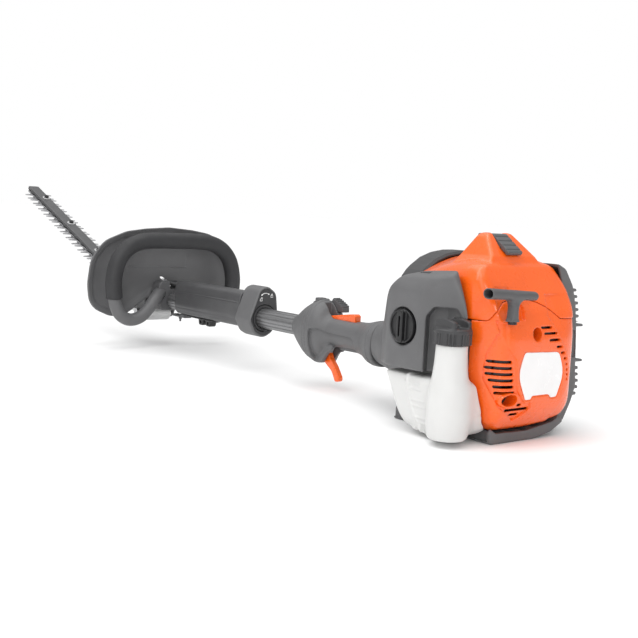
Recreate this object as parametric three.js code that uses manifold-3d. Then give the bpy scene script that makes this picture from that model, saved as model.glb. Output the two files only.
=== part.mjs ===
// Petrol pole hedge trimmer with an articulated cutter bar.
// Millimetres, +Z up. The shaft runs along +Y from the engine to the cutter bar, +X is the
// operator's right. Pieces are drawn about the shaft axis, with Y = 0 on the rear face of the
// starter cover; the last section moves the whole group so that it stands on Z = 0.

import * as THREE from 'three';
import { mergeVertices } from 'three/addons/utils/BufferGeometryUtils.js';
import { ConvexGeometry } from 'three/addons/geometries/ConvexGeometry.js';
import Module from 'manifold-3d';

const wasm = await Module();
wasm.setup();

// ---------------------------------------------------------------- driving dimensions
const GAP = 0.35;                // clearance between pieces that touch
const WALL = 3;                  // moulded cover wall

// Stations along the shaft
const COVER_RIM_Y = 46;          // front rim of the starter cover
const ENGINE_FRONT_Y = 180;      // front rim of the upper cover
const FLANGE_Y = 286;            // front end of the clutch housing
const LIP_Y = 441;               // parting line of the throttle handle
const HANDLE_END_Y = 497;
const COLLAR_Y = 600;            // rear face of the lock collar
const SLEEVE_START_Y = 649;
const SLEEVE_END_Y = 872;
const CLAMP_Y = 905;             // plane of the loop handle
const GUARD_Y = 945;             // plane of the hand guard
const PIVOT_Y = 985;             // cutter head pivot
const PIVOT_Z = -30;

// Section sizes
const TUBE_R = 12.5;             // aluminium drive tube
const TUBE_BORE_R = 10.5;
const RIB_TUBE_R = 17.4;         // ribbed outer tube
const LOCK_RING_R = 22.5;        // ring that locks the tilt adjuster
const FLANGE_R = 34;
const DRIVE_SHAFT_R = 4;
const ROD_R = 4;                 // tilt rod
const ROD_Z = 32;                // height of the tilt rod over the shaft axis

// Engine
const BORE_R = 19;
const CRANK_R = 11;              // half of the 22 mm stroke
const ROD_PLANE_Y = 112;         // plane of the connecting rod
const CYLINDER_BASE_Z = 46;
const CYLINDER_TOP_Z = 112;
const CAP_X = -110;              // fuel filler axis
const CAP_Y = 50;
const CAP_Z = 34;
const CAP_R = 23.7;              // clears the covers as the cap turns
const PRIMER_X = -73;            // primer bulb and choke lever, on the front of the air box
const KNOB_Y = 131;              // axis of the knob on the filter cover
const KNOB_Z = 47;

// Cutter
const BLADE_TILT = THREE.MathUtils.degToRad(20.8);
const BLADE_START = 62;          // from the pivot, along the bar
const BLADE_LENGTH = 615;
const TOOTH_PITCH = 34;
const BLADE_HALF_W = 15;         // blade between its teeth
const BAR_HALF_W = 13;           // guide bar
const TOOTH_TIP_W = 33;
const CASE_R = 17;               // round end of the gear case, about the pivot
const BLADE_DROP = 6;            // cutting plane below the pivot

// ---------------------------------------------------------------- geometry helpers
function toSolid(geometry) {
  const bare = geometry.clone();
  bare.deleteAttribute('normal');
  bare.deleteAttribute('uv');
  const merged = mergeVertices(bare, 1e-4);
  const index = merged.index.array;
  const triangles = [];
  for (let i = 0; i < index.length; i += 3) {
    const [a, b, c] = [index[i], index[i + 1], index[i + 2]];
    if (a !== b && b !== c && c !== a) triangles.push(a, b, c);
  }
  const vertProperties = new Float32Array(merged.attributes.position.array);
  if (signedVolume(vertProperties, triangles) < 0) triangles.reverse();
  const triVerts = new Uint32Array(triangles);
  return new wasm.Manifold(new wasm.Mesh({ numProp: 3, vertProperties, triVerts }));
}

function signedVolume(positions, triangles) {
  const corner = (i) => new THREE.Vector3().fromArray(positions, triangles[i] * 3);
  let volume = 0;
  for (let i = 0; i < triangles.length; i += 3) {
    volume += corner(i).dot(corner(i + 1).cross(corner(i + 2)));
  }
  return volume;
}

function toGeometry(manifold) {
  const mesh = manifold.getMesh();
  const geometry = new THREE.BufferGeometry();
  geometry.setAttribute('position', new THREE.BufferAttribute(mesh.vertProperties, 3));
  geometry.setIndex(new THREE.BufferAttribute(mesh.triVerts, 1));
  return geometry;
}

const join = (...solids) => solids.reduce((all, next) => all.add(next));
const cut = (base, ...tools) => tools.reduce((left, tool) => left.subtract(tool), base);
const meet = (...solids) => solids.reduce((all, next) => all.intersect(next));

// Outline from corner points [x, y, radius]; each corner is rounded by its radius.
function outline(points, radius = 0) {
  const shape = new THREE.Shape();
  const count = points.length;
  points.forEach((point, i) => {
    const here = new THREE.Vector2(point[0], point[1]);
    const before = new THREE.Vector2(...points[(i + count - 1) % count].slice(0, 2)).sub(here);
    const after = new THREE.Vector2(...points[(i + 1) % count].slice(0, 2)).sub(here);
    const wanted = point[2] ?? radius;
    const reach = Math.min(wanted, before.length() * 0.49, after.length() * 0.49);
    const start = here.clone().add(before.setLength(reach));
    const end = here.clone().add(after.setLength(reach));
    if (i === 0) shape.moveTo(start.x, start.y);
    else shape.lineTo(start.x, start.y);
    if (reach > 0) shape.quadraticCurveTo(here.x, here.y, end.x, end.y);
  });
  shape.closePath();
  return shape;
}

const BASES = {
  x: new THREE.Matrix4().makeBasis(axisVector('y'), axisVector('z'), axisVector('x')),
  y: new THREE.Matrix4().makeBasis(axisVector('x'), axisVector('z'), axisVector('y').negate()),
  z: new THREE.Matrix4(),
};

function axisVector(name) {
  return new THREE.Vector3(name === 'x' ? 1 : 0, name === 'y' ? 1 : 0, name === 'z' ? 1 : 0);
}

// Extrusion of an outline along an axis, from low to high. The outline's own coordinates are
// (Y, Z) for axis x, (X, Z) for axis y and (X, Y) for axis z.
function extrude(axis, shape, low, high, bevel = 0, steps = 2) {
  const depth = high - low - 2 * bevel;
  const geometry = new THREE.ExtrudeGeometry(shape, {
    depth,
    curveSegments: steps,
    bevelEnabled: bevel > 0,
    bevelThickness: bevel,
    bevelSize: bevel,
    bevelOffset: -bevel,
    bevelSegments: 1,
  });
  geometry.applyMatrix4(BASES[axis]);
  const shift = axis === 'y' ? high - bevel : low + bevel;
  geometry.translate(...axisVector(axis).multiplyScalar(shift).toArray());
  return toSolid(geometry);
}

function box(x0, x1, y0, y1, z0, z1) {
  const geometry = new THREE.BoxGeometry(x1 - x0, y1 - y0, z1 - z0);
  geometry.translate((x0 + x1) / 2, (y0 + y1) / 2, (z0 + z1) / 2);
  return toSolid(geometry);
}

// Cylinder along an axis; the centre is the point on the axis given by its two other coordinates.
function cylinder(axis, radius, low, high, centre = [0, 0], sides = 16) {
  const shape = new THREE.Shape();
  shape.absarc(centre[0], centre[1], radius, 0, Math.PI * 2);
  return extrude(axis, shape, low, high, 0, sides / 2);
}

function tube(axis, outer, inner, low, high, centre = [0, 0], sides = 16) {
  const bore = cylinder(axis, inner, low - 1, high + 1, centre, sides);
  return cut(cylinder(axis, outer, low, high, centre, sides), bore);
}

// Turned body about the shaft axis from [radius, y] points.
function turned(profile, sides = 18) {
  const points = profile.map(([radius, y]) => new THREE.Vector2(radius, y));
  return toSolid(new THREE.LatheGeometry(points, sides));
}

// Round bar swept along a smooth curve through the points.
function swept(points, radius, steps, sides = 8) {
  const curve = new THREE.CatmullRomCurve3(points.map((p) => new THREE.Vector3(...p)));
  const section = new THREE.Shape();
  section.absarc(0, 0, radius, 0, Math.PI * 2);
  const geometry = new THREE.ExtrudeGeometry(section, {
    extrudePath: curve,
    steps,
    curveSegments: sides / 2,
    bevelEnabled: false,
  });
  return toSolid(geometry);
}

const COLOURS = {
  orange: ['#ff5a14', 0.3, 0],
  grey: ['#6f6f71', 0.6, 0],
  midGrey: ['#858587', 0.55, 0],
  dark: ['#3c3c3e', 0.6, 0],
  black: ['#141414', 0.5, 0],
  tank: ['#ecebe6', 0.45, 0],
  label: ['#f5f5f5', 0.4, 0],
  rubber: ['#3f3f41', 0.8, 0],
  alloy: ['#c9cacc', 0.45, 0.8],
  anodised: ['#77787a', 0.4, 0.7],
  steel: ['#9b9da0', 0.3, 0.95],
  ceramic: ['#f2f0ea', 0.3, 0],
  rope: ['#d8d4c8', 0.9, 0],
};

function part(name, manifold, look) {
  const [color, roughness, metalness] = COLOURS[look];
  const material = new THREE.MeshStandardMaterial({ color, roughness, metalness });
  const mesh = new THREE.Mesh(toGeometry(manifold), material);
  mesh.name = name;
  return mesh;
}

function group(...children) {
  const made = new THREE.Group();
  made.add(...children);
  return made;
}

// ---------------------------------------------------------------- engine covers
// Rear view outline of the two orange covers, (X, Z).
const BODY_OUTLINE = [
  [-70, 140, 24], [62, 140, 26], [74, 108, 24], [80, 64, 24], [99, 6, 24], [93, -34, 18],
  [68, -70, 26], [10, -78, 30], [-50, -77, 14], [-66, -62, 10], [-76, -34, 16], [-86, 0, 16],
  [-86, 60, 20], [-84, 112, 16],
];
// Side view of the rear face, (Y, Z): flat about the label, leaning forward to the top.
const BODY_PROFILE = [
  [0, -40, 30], [0, 42, 30], [10, 76, 30], [44, 132, 16], [70, 142, 20], [ENGINE_FRONT_Y, 142],
  [ENGINE_FRONT_Y, -80], [34, -80, 10], [22, -70, 16],
];
// Plan view, (X, Y).
const BODY_PLAN = [
  [-60, 0, 30], [62, 0, 34], [98, 32, 8], [98, ENGINE_FRONT_Y], [-88, ENGINE_FRONT_Y],
  [-88, 46, 6],
];
// Line between the two orange covers, (X, Z).
const SEAM = [
  [-130, 63], [-75, 64, 4], [-70, 75, 4], [-56, 87, 10], [-26, 93, 30], [2, 87, 20], [24, 78, 16],
  [43, 66, 6], [130, 66],
];
// Cooling slots beside the label as [left, right, Z].
const COOLING_SLOTS = [
  [-71, -50, 15.2], [-72, -48.5, 7.3], [-71.5, -46.5, -0.2], [-69, -45.5, -8], [-66, -44.5, -16],
  [-65, -42, -23.5], [-60, -55, -30.8], [-51, -12, -45.5], [-39, -25.5, -52.3],
  [2, 22, 56], [8, 32, 48.5], [18, 37, 40], [33, 42, 31],
];
const SLOT_TALL = 3.3;
// Hollow behind the stem of the starter handle, (X, Z).
const STEM_HOLLOW = [[-75, 64.5, 3], [-24, 64.5, 2], [-24, 80, 2], [-40, 108, 6], [-72, 108, 6]];
const HOLLOW_DEPTH = 14;

function grown(points, amount) {
  const centre = points.reduce((sum, p) => [sum[0] + p[0], sum[1] + p[1]], [0, 0]);
  const middle = centre.map((value) => value / points.length);
  return points.map(([x, y, r]) => {
    const far = Math.hypot(x - middle[0], y - middle[1]);
    const scale = (far + amount * 1.15) / far;
    return [middle[0] + (x - middle[0]) * scale, middle[1] + (y - middle[1]) * scale, r];
  });
}

// Slanted corner on the top left of the covers, as a solid to cut away.
function slantedCorner(inset) {
  const slant = (x, y) => 116 - inset + 0.43 * (x + 63) + 0.29 * (150 - y);
  const corners = [[-140, -20], [60, -20], [-140, 260], [60, 260]];
  const points = corners.flatMap(([x, y]) => [
    new THREE.Vector3(x, y, slant(x, y)),
    new THREE.Vector3(x, y, slant(x, y) + 200),
  ]);
  return toSolid(new ConvexGeometry(points));
}

function bodyBlank(inset) {
  const face = extrude('y', outline(grown(BODY_OUTLINE, -inset)), inset, ENGINE_FRONT_Y + 40);
  const side = extrude('x', outline(BODY_PROFILE.map(([y, z, r]) => [y + inset, z, r])), -130, 130);
  const plan = extrude('z', outline(BODY_PLAN.map(([x, y, r]) => [x, y + inset, r])), -110, 150);
  return cut(meet(face, side, plan), slantedCorner(inset));
}

const bodyEnvelope = (margin) => extrude('y', outline(grown(BODY_OUTLINE, margin)), -10, 220);

function seamBlock(above, offset) {
  const edge = SEAM.map(([x, z, r]) => [x, z + offset, r]);
  const far = above ? 260 : -160;
  return extrude('y', outline([...edge, [130, far], [-130, far]]), -20, 230);
}

const stemHollow = () => extrude('y', outline(STEM_HOLLOW), -5, HOLLOW_DEPTH);

function starterCover() {
  const shell = cut(bodyBlank(0), bodyBlank(WALL));
  const below = seamBlock(false, -GAP);
  const lower = meet(shell, below, box(-130, 130, -1, COVER_RIM_Y, -120, 120));
  const vents = COOLING_SLOTS.map(([left, right, z]) => (
    box(left, right, -5, 40, z - SLOT_TALL / 2, z + SLOT_TALL / 2)));
  const screwWells = [[-6, 48], [-49, -32.5]].map((centre) => cylinder('y', 8.6, -5, 20, centre, 8));
  const floor = extrude('y', outline(STEM_HOLLOW), HOLLOW_DEPTH, HOLLOW_DEPTH + WALL);
  const backing = meet(floor, bodyBlank(1), below);
  const rope = cylinder('y', 3, 0, 40, [-60.5, 72], 6);
  const post = cylinder('y', 5, WALL - 1, 33, [0, 0], 16);
  return join(cut(join(cut(lower, stemHollow(), ...vents, ...screwWells), backing), rope), post);
}

function labelPlate() {
  const corners = [
    [-29, 27, 6], [37, 25, 9], [50, -3, 34], [37, -34, 5], [26, -34, 3], [21, -29.5, 3],
    [-10, -29.5, 3], [-13, -34, 3], [-23, -34, 4], [-40, -1, 34],
  ];
  return extrude('y', outline(corners), -1.2, -GAP);
}

function upperCover() {
  const shell = cut(bodyBlank(0), bodyBlank(WALL));
  const region = box(-130, 130, -1, ENGINE_FRONT_Y - 20, 40, 150);
  const upper = meet(shell, seamBlock(true, GAP), region);
  const muffleWindow = box(64, 130, 78, 175, 46, 108);
  const intakeWindow = box(-130, -70, 84, 150, 46, 102);
  return cut(join(upper, hump()), muffleWindow, intakeWindow, stemHollow(), latchInsert(GAP));
}

// Raised housing on top of the upper cover, hollow over the spark plug.
function hump() {
  const rear = extrude('y', outline([
    [-61, 134], [-54, 142, 8], [-39, 166, 8], [-34, 171, 5], [-24, 172], [-22, 168], [4, 168],
    [7, 172, 3], [14, 171, 7], [24, 160, 12], [44, 141, 10], [52, 134],
  ]), 46, 114);
  const side = extrude('x', outline([
    [47, 134], [51, 142, 3], [76, 172, 6], [88, 172, 10], [106, 142, 12], [110, 134],
  ]), -90, 90);
  const hollow = extrude('y', outline([[-40, 130], [-26, 160, 6], [8, 160, 6], [26, 130]]), 70, 100, 4);
  return cut(meet(rear, side), hollow);
}

// Ribbed insert set into the rear of the hump; the seat in the cover is grown by a margin.
function latchInsert(margin) {
  const face = outline([
    [46 - margin, 149 + margin], [46 - margin, 144 - margin], [50, 143 - margin],
    [77, 163.5 - margin], [100 + margin, 163.5 - margin], [100 + margin, 169.5 + margin],
    [75 - margin, 170 + margin],
  ]);
  return extrude('x', face, -24 - margin, 4 + margin);
}

// ---------------------------------------------------------------- starter
function recoilPulley() {
  const disc = turned([[0, 16], [30, 16], [30, 18.5], [26, 18.5], [26, 25.5], [30, 25.5], [30, 28],
    [0, 28]]);
  return cut(disc, cylinder('y', 5.4, 10, 40, [0, 0], 16));
}

const recoilSpring = () => tube('y', 27, 6, 6, 14.5);
const ropeCoil = () => tube('y', 29.4, 26.9, 18.9, 25.1);

function starterHandle() {
  const section = outline([[-8.6, 94, 6], [8.6, 94, 6], [8.6, 107, 6], [-8.6, 107, 6]]);
  const bar = extrude('x', section, -107, -19.5, 2);
  const stem = extrude('y', outline([[-71, 66, 3], [-50, 66, 3], [-55, 73, 5], [-55, 84, 6], [-50, 96],
    [-71, 96], [-66, 84, 6], [-66, 73, 5]]), -7, 7, 1.5);
  return join(bar, stem);
}

// ---------------------------------------------------------------- fuel
function fuelTank() {
  const side = extrude('x', outline([
    [30, -13, 8], [178, -13, 8], [162, -44, 12], [138, -67, 14], [112, -82, 16], [66, -88, 18],
    [38, -78, 16], [28, -48, 16],
  ]), -114, 32, 3, 3);
  const front = extrude('y', outline([
    [-114, -10], [-56, -10, 6], [-52, -56, 6], [30, -57, 4], [30, -78, 4], [-54, -78, 4],
    [-60, -90], [-114, -90],
  ]), 20, 190);
  const bodySide = meet(side, front);
  const neck = turned([[0, -46], [27, -46], [24, -10], [20, 10], [19.5, CAP_Z - GAP], [0, CAP_Z - GAP]]);
  const standing = neck.rotate([90, 0, 0]).translate([CAP_X, CAP_Y, 0]);
  const neckBore = cylinder('z', 15, -40, CAP_Z + 2, [CAP_X, CAP_Y], 8);
  const inside = extrude('x', outline([[46, -22, 6], [166, -22, 6], [150, -50, 8], [112, -72, 12],
    [70, -80, 12], [46, -70, 10]]), -106, -62);
  const seam = extrude('y', outline([[-117, -16, 3], [-100, -16], [-100, -80], [-117, -72, 6]]), 122, 126);
  return cut(join(bodySide, standing, seam), inside, neckBore, bodyEnvelopeRear());
}

const bodyEnvelopeRear = () => meet(bodyEnvelope(2), box(-130, 130, -10, COVER_RIM_Y + 2, -120, 160));

function fuelCap() {
  const skirt = tube('z', CAP_R, 21.6, CAP_Z, CAP_Z + 18, [CAP_X, CAP_Y], 10);
  const top = cylinder('z', CAP_R, CAP_Z + 16, CAP_Z + 20, [CAP_X, CAP_Y], 10);
  const fins = [-1, 1].map((side) => box(CAP_X + side * 11 - 3, CAP_X + side * 11 + 3, CAP_Y - 18.6,
    CAP_Y + 18.6, CAP_Z + 18, CAP_Z + 30));
  return join(skirt, top, ...fins);
}

const capSeal = () => tube('z', 18.5, 15, CAP_Z + GAP, CAP_Z + 15, [CAP_X, CAP_Y], 8);

// ---------------------------------------------------------------- air filter side
// Plan of the filter cover, (X, Y).
const FILTER_PLAN = [
  [-88, 38, 1], [-118, 101, 4], [-120, 120, 14], [-118, 160, 18], [-104, 184, 12], [-88, 190, 4],
];

function filterBlank(inset) {
  const plan = FILTER_PLAN.map(([x, y, r]) => [x < -90 ? x + inset : x, y + (y < 110 ? inset : -inset), r]);
  const shape = extrude('z', outline(plan), -60, 160);
  const side = extrude('x', outline([
    [36, -8 + inset], [191, -10 + inset], [191, 22, 16], [172, 84 - inset, 34], [148, 111 - inset, 26],
    [120, 118.5 - inset, 30], [67 + inset, 125 - inset, 6], [41 + inset, 66, 20],
  ]), -130, -80);
  const rear = extrude('y', outline([
    [-86, -12], [-121, -8, 4], [-121, 92, 18], [-110, 112 - inset, 16], [-86, 126 - inset],
  ]), 30, 200);
  return meet(shape, side, rear);
}

function filterCover() {
  const shell = cut(filterBlank(0), filterBlank(WALL).translate([4, 0, 0]));
  const capRelief = cylinder('z', 27.5, -20, CAP_Z + 42, [CAP_X, CAP_Y], 10);
  const knobWell = cylinder('x', 24, -130, -113, [KNOB_Y, KNOB_Z], 12);
  const boss = meet(cylinder('x', 26, -113, -108, [KNOB_Y, KNOB_Z], 12), filterBlank(0));
  return cut(join(cut(shell, knobWell), boss), capRelief);
}

function filterKnob() {
  const disc = cylinder('x', 22.5, -117, -113.5, [KNOB_Y, KNOB_Z], 12);
  const wing = outline([[KNOB_Y - 6, 27, 4], [KNOB_Y + 6, 27, 4], [KNOB_Y + 6, 67, 4], [KNOB_Y - 6, 67, 4]]);
  const bar = extrude('x', wing, -125, -116);
  return join(disc, bar);
}

const AIR_FILTER = [[104, 16, 5], [158, 16, 5], [154, 74, 5], [104, 88, 5]];
const airFilter = () => extrude('x', outline(AIR_FILTER), -106, -91);

function airBox() {
  const plate = extrude('x', outline([[70, -4, 4], [191, -4, 4], [191, 34, 4], [150, 54, 4], [70, 54, 4]]),
    -86.4, -84);
  const flange = box(-86, -54, 188, 191, -6, 33);
  const primerHole = cylinder('y', 9.8, 180, 200, [PRIMER_X, 20]);
  return cut(join(plate, flange), cylinder('x', 6, -90, -80, [112, 40], 6), primerHole);
}

const primerBulb = () => turned([[0, 192], [9, 192], [9, 194], [7.5, 199], [4, 202], [0, 203]], 12)
  .translate([PRIMER_X, -0.5, 20]);

function chokeLever() {
  const hub = cylinder('y', 5, 191.4, 198, [PRIMER_X, 0], 6);
  const arm = extrude('y', outline([[PRIMER_X - 4, -2], [PRIMER_X + 4, -2], [PRIMER_X + 3, 0],
    [PRIMER_X + 20, 2, 2], [PRIMER_X + 20, -3, 2]]), 194, 198);
  return join(hub, arm);
}

function carburettor() {
  const block = extrude('x', outline([[94, 42, 3], [130, 42, 3], [130, 76, 3], [94, 76, 3]]), -72, -42, 2);
  const bore = cylinder('x', 8, -80, -30, [112, 60], 8);
  const bowl = cylinder('z', 13, 36, 43, [-57, 112], 8);
  const inletStub = cylinder('x', 11, -44, -33.4, [112, 60], 8);
  return cut(join(block, bowl, inletStub), bore);
}

// ---------------------------------------------------------------- engine internals
function crankcase() {
  const shell = cut(turned([[0, 68], [46, 68], [46, 150], [0, 150]]),
    cylinder('y', 40, 72, 146), cylinder('y', 6.4, 60, 160, [0, 0], 16));
  const neck = cut(box(-30, 30, 82, 142, 20, CYLINDER_BASE_Z - GAP), cylinder('y', 39, 70, 148));
  const mouth = cylinder('z', BORE_R + 1, 0, 60, [0, ROD_PLANE_Y]);
  return cut(join(shell, neck), mouth);
}

function cylinderBlock() {
  const barrel = cylinder('z', 26, CYLINDER_BASE_Z, CYLINDER_TOP_Z, [0, ROD_PLANE_Y], 10);
  const fins = [];
  for (let level = 0; level < 6; level += 1) {
    const z = CYLINDER_BASE_Z + 14 + level * 9;
    fins.push(box(-33, 33, ROD_PLANE_Y - 31, ROD_PLANE_Y + 31, z, z + 3));
  }
  const bore = cylinder('z', BORE_R, 20, CYLINDER_TOP_Z - 6, [0, ROD_PLANE_Y]);
  const plugHole = cylinder('z', 5, 90, 130, [0, ROD_PLANE_Y], 6);
  return cut(join(barrel, ...fins), bore, plugHole);
}

function piston() {
  const crown = cylinder('z', BORE_R - 0.2, 70, 103, [0, ROD_PLANE_Y]);
  return cut(crown, cylinder('z', 16.5, 60, 98, [0, ROD_PLANE_Y]));
}

function connectingRod() {
  const side = extrude('y', outline([[-7, CRANK_R, 2], [-3, 20], [-3, 66, 2], [3, 66, 2], [3, 20],
    [7, CRANK_R, 2]]), ROD_PLANE_Y - 3, ROD_PLANE_Y + 3);
  const bigEnd = cylinder('y', 9, ROD_PLANE_Y - 3, ROD_PLANE_Y + 3, [0, CRANK_R], 8);
  return cut(join(side, bigEnd), cylinder('y', 5.4, 90, 130, [0, CRANK_R], 16));
}

function crankshaft() {
  const pin = cylinder('y', 5, ROD_PLANE_Y - 8, ROD_PLANE_Y + 8, [0, CRANK_R], 16);
  const webs = [-1, 1].map((side) => {
    const middle = ROD_PLANE_Y + side * 8;
    return cylinder('y', 24, middle - 4, middle + 4, [0, -4], 12);
  });
  const rear = cylinder('y', 6, 8, ROD_PLANE_Y - 8, [0, 0], 16);
  const front = cylinder('y', 6, ROD_PLANE_Y + 8, 176, [0, 0], 16);
  return join(pin, ...webs, cut(rear, cylinder('y', 7, 5, 34)), front);
}

function flywheel() {
  const disc = tube('y', 46, 6.3, 44, 60, [0, 0], 16);
  const vanes = [];
  for (let blade = 0; blade < 9; blade += 1) {
    vanes.push(box(28, 44, 38, 45, -1.2, 1.2).rotate([0, blade * 40, 0]));
  }
  return join(disc, ...vanes);
}

const ignitionCoil = () => join(
  extrude('y', outline([[-18, 66, 3], [18, 66, 3], [18, 84, 3], [-18, 84, 3]]), 44, 60),
  box(-16, -8, 46, 58, 50, 67),
  box(8, 16, 46, 58, 50, 67),
);

function sparkPlug() {
  const thread = cylinder('z', 4.6, 106.5, CYLINDER_TOP_Z + 1, [0, ROD_PLANE_Y], 6);
  const hexagon = cylinder('z', 8, CYLINDER_TOP_Z + GAP, CYLINDER_TOP_Z + 8, [0, ROD_PLANE_Y], 6);
  const insulator = cylinder('z', 4, CYLINDER_TOP_Z + 7, CYLINDER_TOP_Z + 20, [0, ROD_PLANE_Y], 6);
  return join(thread, hexagon, insulator);
}

function muffler() {
  const can = extrude('x', outline([[84, 30, 8], [150, 30, 8], [150, 96, 8], [84, 96, 8]]), 40, 90, 5);
  const port = cylinder('x', 9, 34.4, 44, [ROD_PLANE_Y, 64], 6);
  return join(can, port);
}

function clutchShoes() {
  const shoes = tube('y', 33, 6.4, 158, 170, [0, 0], 16);
  return cut(shoes, box(-40, -8, 150, 180, -1, 1), box(8, 40, 150, 180, -1, 1));
}

const clutchDrum = () => cut(
  turned([[0, 156], [38, 156], [38, 188], [9, 192], [9, 206], [0, 206]]),
  turned([[0, 150], [34.5, 150], [34.5, 182], [0, 182]]),
  cylinder('y', DRIVE_SHAFT_R + GAP, 180, 210),
);

function clutchHousing() {
  const outer = turned([[0, 151], [52, 151], [53, 168], [50, 196], [44, 236], [37, 268], [FLANGE_R, 280],
    [FLANGE_R, FLANGE_Y], [0, FLANGE_Y]]);
  const inner = turned([[0, 140], [46, 140], [47, 168], [44, 196], [38, 236], [24, 262], [24, 276],
    [TUBE_R + GAP, 276], [TUBE_R + GAP, 300], [0, 300]]);
  return cut(outer, inner);
}

// ---------------------------------------------------------------- outer guards
function mufflerGuard() {
  const block = extrude('y', outline([
    [58, 138, 8], [82, 128, 12], [99, 106, 18], [108, 80, 24], [113, 52, 24], [116, 20, 24],
    [118, -8, 24], [121, -30, 16], [113, -52, 14], [99, -76, 6], [84, -80], [58, -30],
  ]), 36, 188, 2.5);
  const hollow = extrude('y', outline([
    [40, 132], [77, 123, 10], [94, 104, 16], [103, 79, 20], [108, 52, 20], [111, 20, 20],
    [113, -8, 20], [116, -30, 12], [108, -50, 12], [97, -70, 6], [84, -74], [40, -74],
  ]), 42, 182);
  const slots = [];
  for (let row = 0; row < 4; row += 1) {
    const z = 100 - row * 9;
    slots.push(box(84, 130, 60, 170, z - 3, z));
    slots.push(box(84, 130, 60, 170, z - 119, z - 116));
  }
  const fins = [52, 4].map((z) => box(109, 131, 40, 170, z - 1.8, z + 1.8));
  return cut(join(cut(block, hollow, ...slots), ...fins), bodyEnvelope(1.6));
}

function baseGuard() {
  const skirt = extrude('y', outline([
    [-57, -92, 3], [30, -92, 10], [66, -85, 10], [80, -79, 2], [71, -72, 2], [28, -79.5, 2],
    [-52, -79.5, 2],
  ]), 24, 204);
  return cut(skirt, bodyEnvelope(1.6));
}

function frontShroud() {
  const shape = outline([[-66, 108, 12], [-34, 134, 20], [10, 144, 20], [56, 142, 24], [74, 116, 16],
    [82, 60, 10], [70, 20, 10], [-62, 20, 10], [-78, 60, 10]]);
  const hollow = outline([[-60, 104, 12], [-32, 129, 18], [10, 139, 18], [52, 137, 20], [69, 114, 14],
    [77, 60, 8], [66, 24, 8], [-58, 24, 8], [-73, 60, 8]]);
  const shell = cut(extrude('y', shape, ENGINE_FRONT_Y - 19, 198, 3), extrude('y', hollow, 150, 193));
  const airBoxRoom = box(-90, -50, 180, 200, -10, 40);
  return cut(shell, cylinder('y', 56, 140, 260), mufflerRoom(), filterRoom(), airBoxRoom);
}

const mufflerRoom = () => extrude('y', outline([
  [56, 145], [130, 145], [130, -82], [60, -82],
]), 30, 192);
const filterRoom = () => box(-140, -79, 50, 192, -20, 130);

// ---------------------------------------------------------------- throttle handle
function ellipsePoints(halfW, top, bottom, exponent = 2.4) {
  const points = [];
  const middle = (top + bottom) / 2;
  const halfH = (top - bottom) / 2;
  for (let i = 0; i < 14; i += 1) {
    const angle = (i / 14) * Math.PI * 2;
    const cx = Math.cos(angle);
    const cz = Math.sin(angle);
    const x = halfW * Math.sign(cx) * Math.abs(cx) ** (2 / exponent);
    const z = middle + halfH * Math.sign(cz) * Math.abs(cz) ** (2 / exponent);
    points.push([x, z]);
  }
  return points;
}

// Body lofted along the shaft from [y, half width, top, bottom] stations, one convex slice each.
function lofted(stations) {
  const slices = [];
  for (let i = 0; i + 1 < stations.length; i += 1) {
    const points = [stations[i], stations[i + 1]].flatMap(([y, halfW, top, bottom]) => (
      ellipsePoints(halfW, top, bottom).map(([x, z]) => new THREE.Vector3(x, y, z))));
    slices.push(toSolid(new ConvexGeometry(points)));
  }
  return join(...slices);
}

function throttleHandle() {
  const body = lofted([
    [288, 34, 31, -37], [298, 34, 30, -37], [312, 30, 27, -33], [332, 23, 24, -26], [350, 21, 23, -25],
    [404, 21, 23, -26], [414, 26, 32, -36], [422, 33, 42, -46], [LIP_Y - 6, 35, 46, -50],
    [LIP_Y - GAP, 35, 47, -51],
  ]);
  const cheeks = extrude('x', outline([[398, -20], [LIP_Y - 2, -20], [LIP_Y - 2, -48, 4], [424, -50, 6],
    [402, -42, 8]]), -17, 17);
  const triggerSlot = box(-7, 7, 396, LIP_Y - 6, -70, -24);
  const tubeBore = cylinder('y', TUBE_R + GAP, 280, 450);
  const lockoutSlot = box(-7, 7, 352, 428, 13, 60);
  const grooves = [-1, 1].map((side) => box(side * 22 - 4, side * 22 + 4, 336, 402, -14, -4));
  const switchSlot = box(9, 25, 398, 434, 30, 60);
  const triggerPin = cylinder('x', 2, -16, 16, [426, -34], 6);
  const hollowed = cut(join(body, cheeks), triggerSlot, tubeBore, lockoutSlot, ...grooves, switchSlot);
  return join(hollowed, triggerPin);
}

function handleNose() {
  const body = lofted([
    [LIP_Y + GAP, 35, 47, -51], [452, 34, 44, -48], [468, 30, 36, -40], [484, 24, 24, -27],
    [HANDLE_END_Y, 19.5, 19.5, -19.5],
  ]);
  return cut(body, cylinder('y', RIB_TUBE_R + GAP, 470 - GAP, 520), cylinder('y', TUBE_R + GAP, 430, 520));
}

function throttleTrigger() {
  const side = outline([[440 - 8, -30, 3], [432, -44, 4], [414, -56, 6], [396, -74, 4], [388, -70, 4],
    [398, -54, 8], [414, -38, 6], [420, -28, 3]]);
  const lever = extrude('x', side, -5.5, 5.5, 1.5);
  return cut(lever, cylinder('x', 2.4, -10, 10, [426, -34], 6));
}

function throttleLockout() {
  return extrude('x', outline([[356, 18, 2], [356, 31, 2], [362, 33, 2], [424, 23, 2], [424, 18]]), -6, 6, 1);
}

function stopSwitch() {
  const rocker = extrude('x', outline([[406, 32, 1], [406, 41, 2], [432, 51, 2], [432, 32]]), 10, 24);
  const ridges = [0, 1, 2].map((i) => box(11, 23, 410 + i * 7, 412 + i * 7, 40, 46 + i * 3));
  return join(rocker, ...ridges);
}

// ---------------------------------------------------------------- shaft
const driveTube = () => tube('y', TUBE_R, TUBE_BORE_R, 277, 957);

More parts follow.
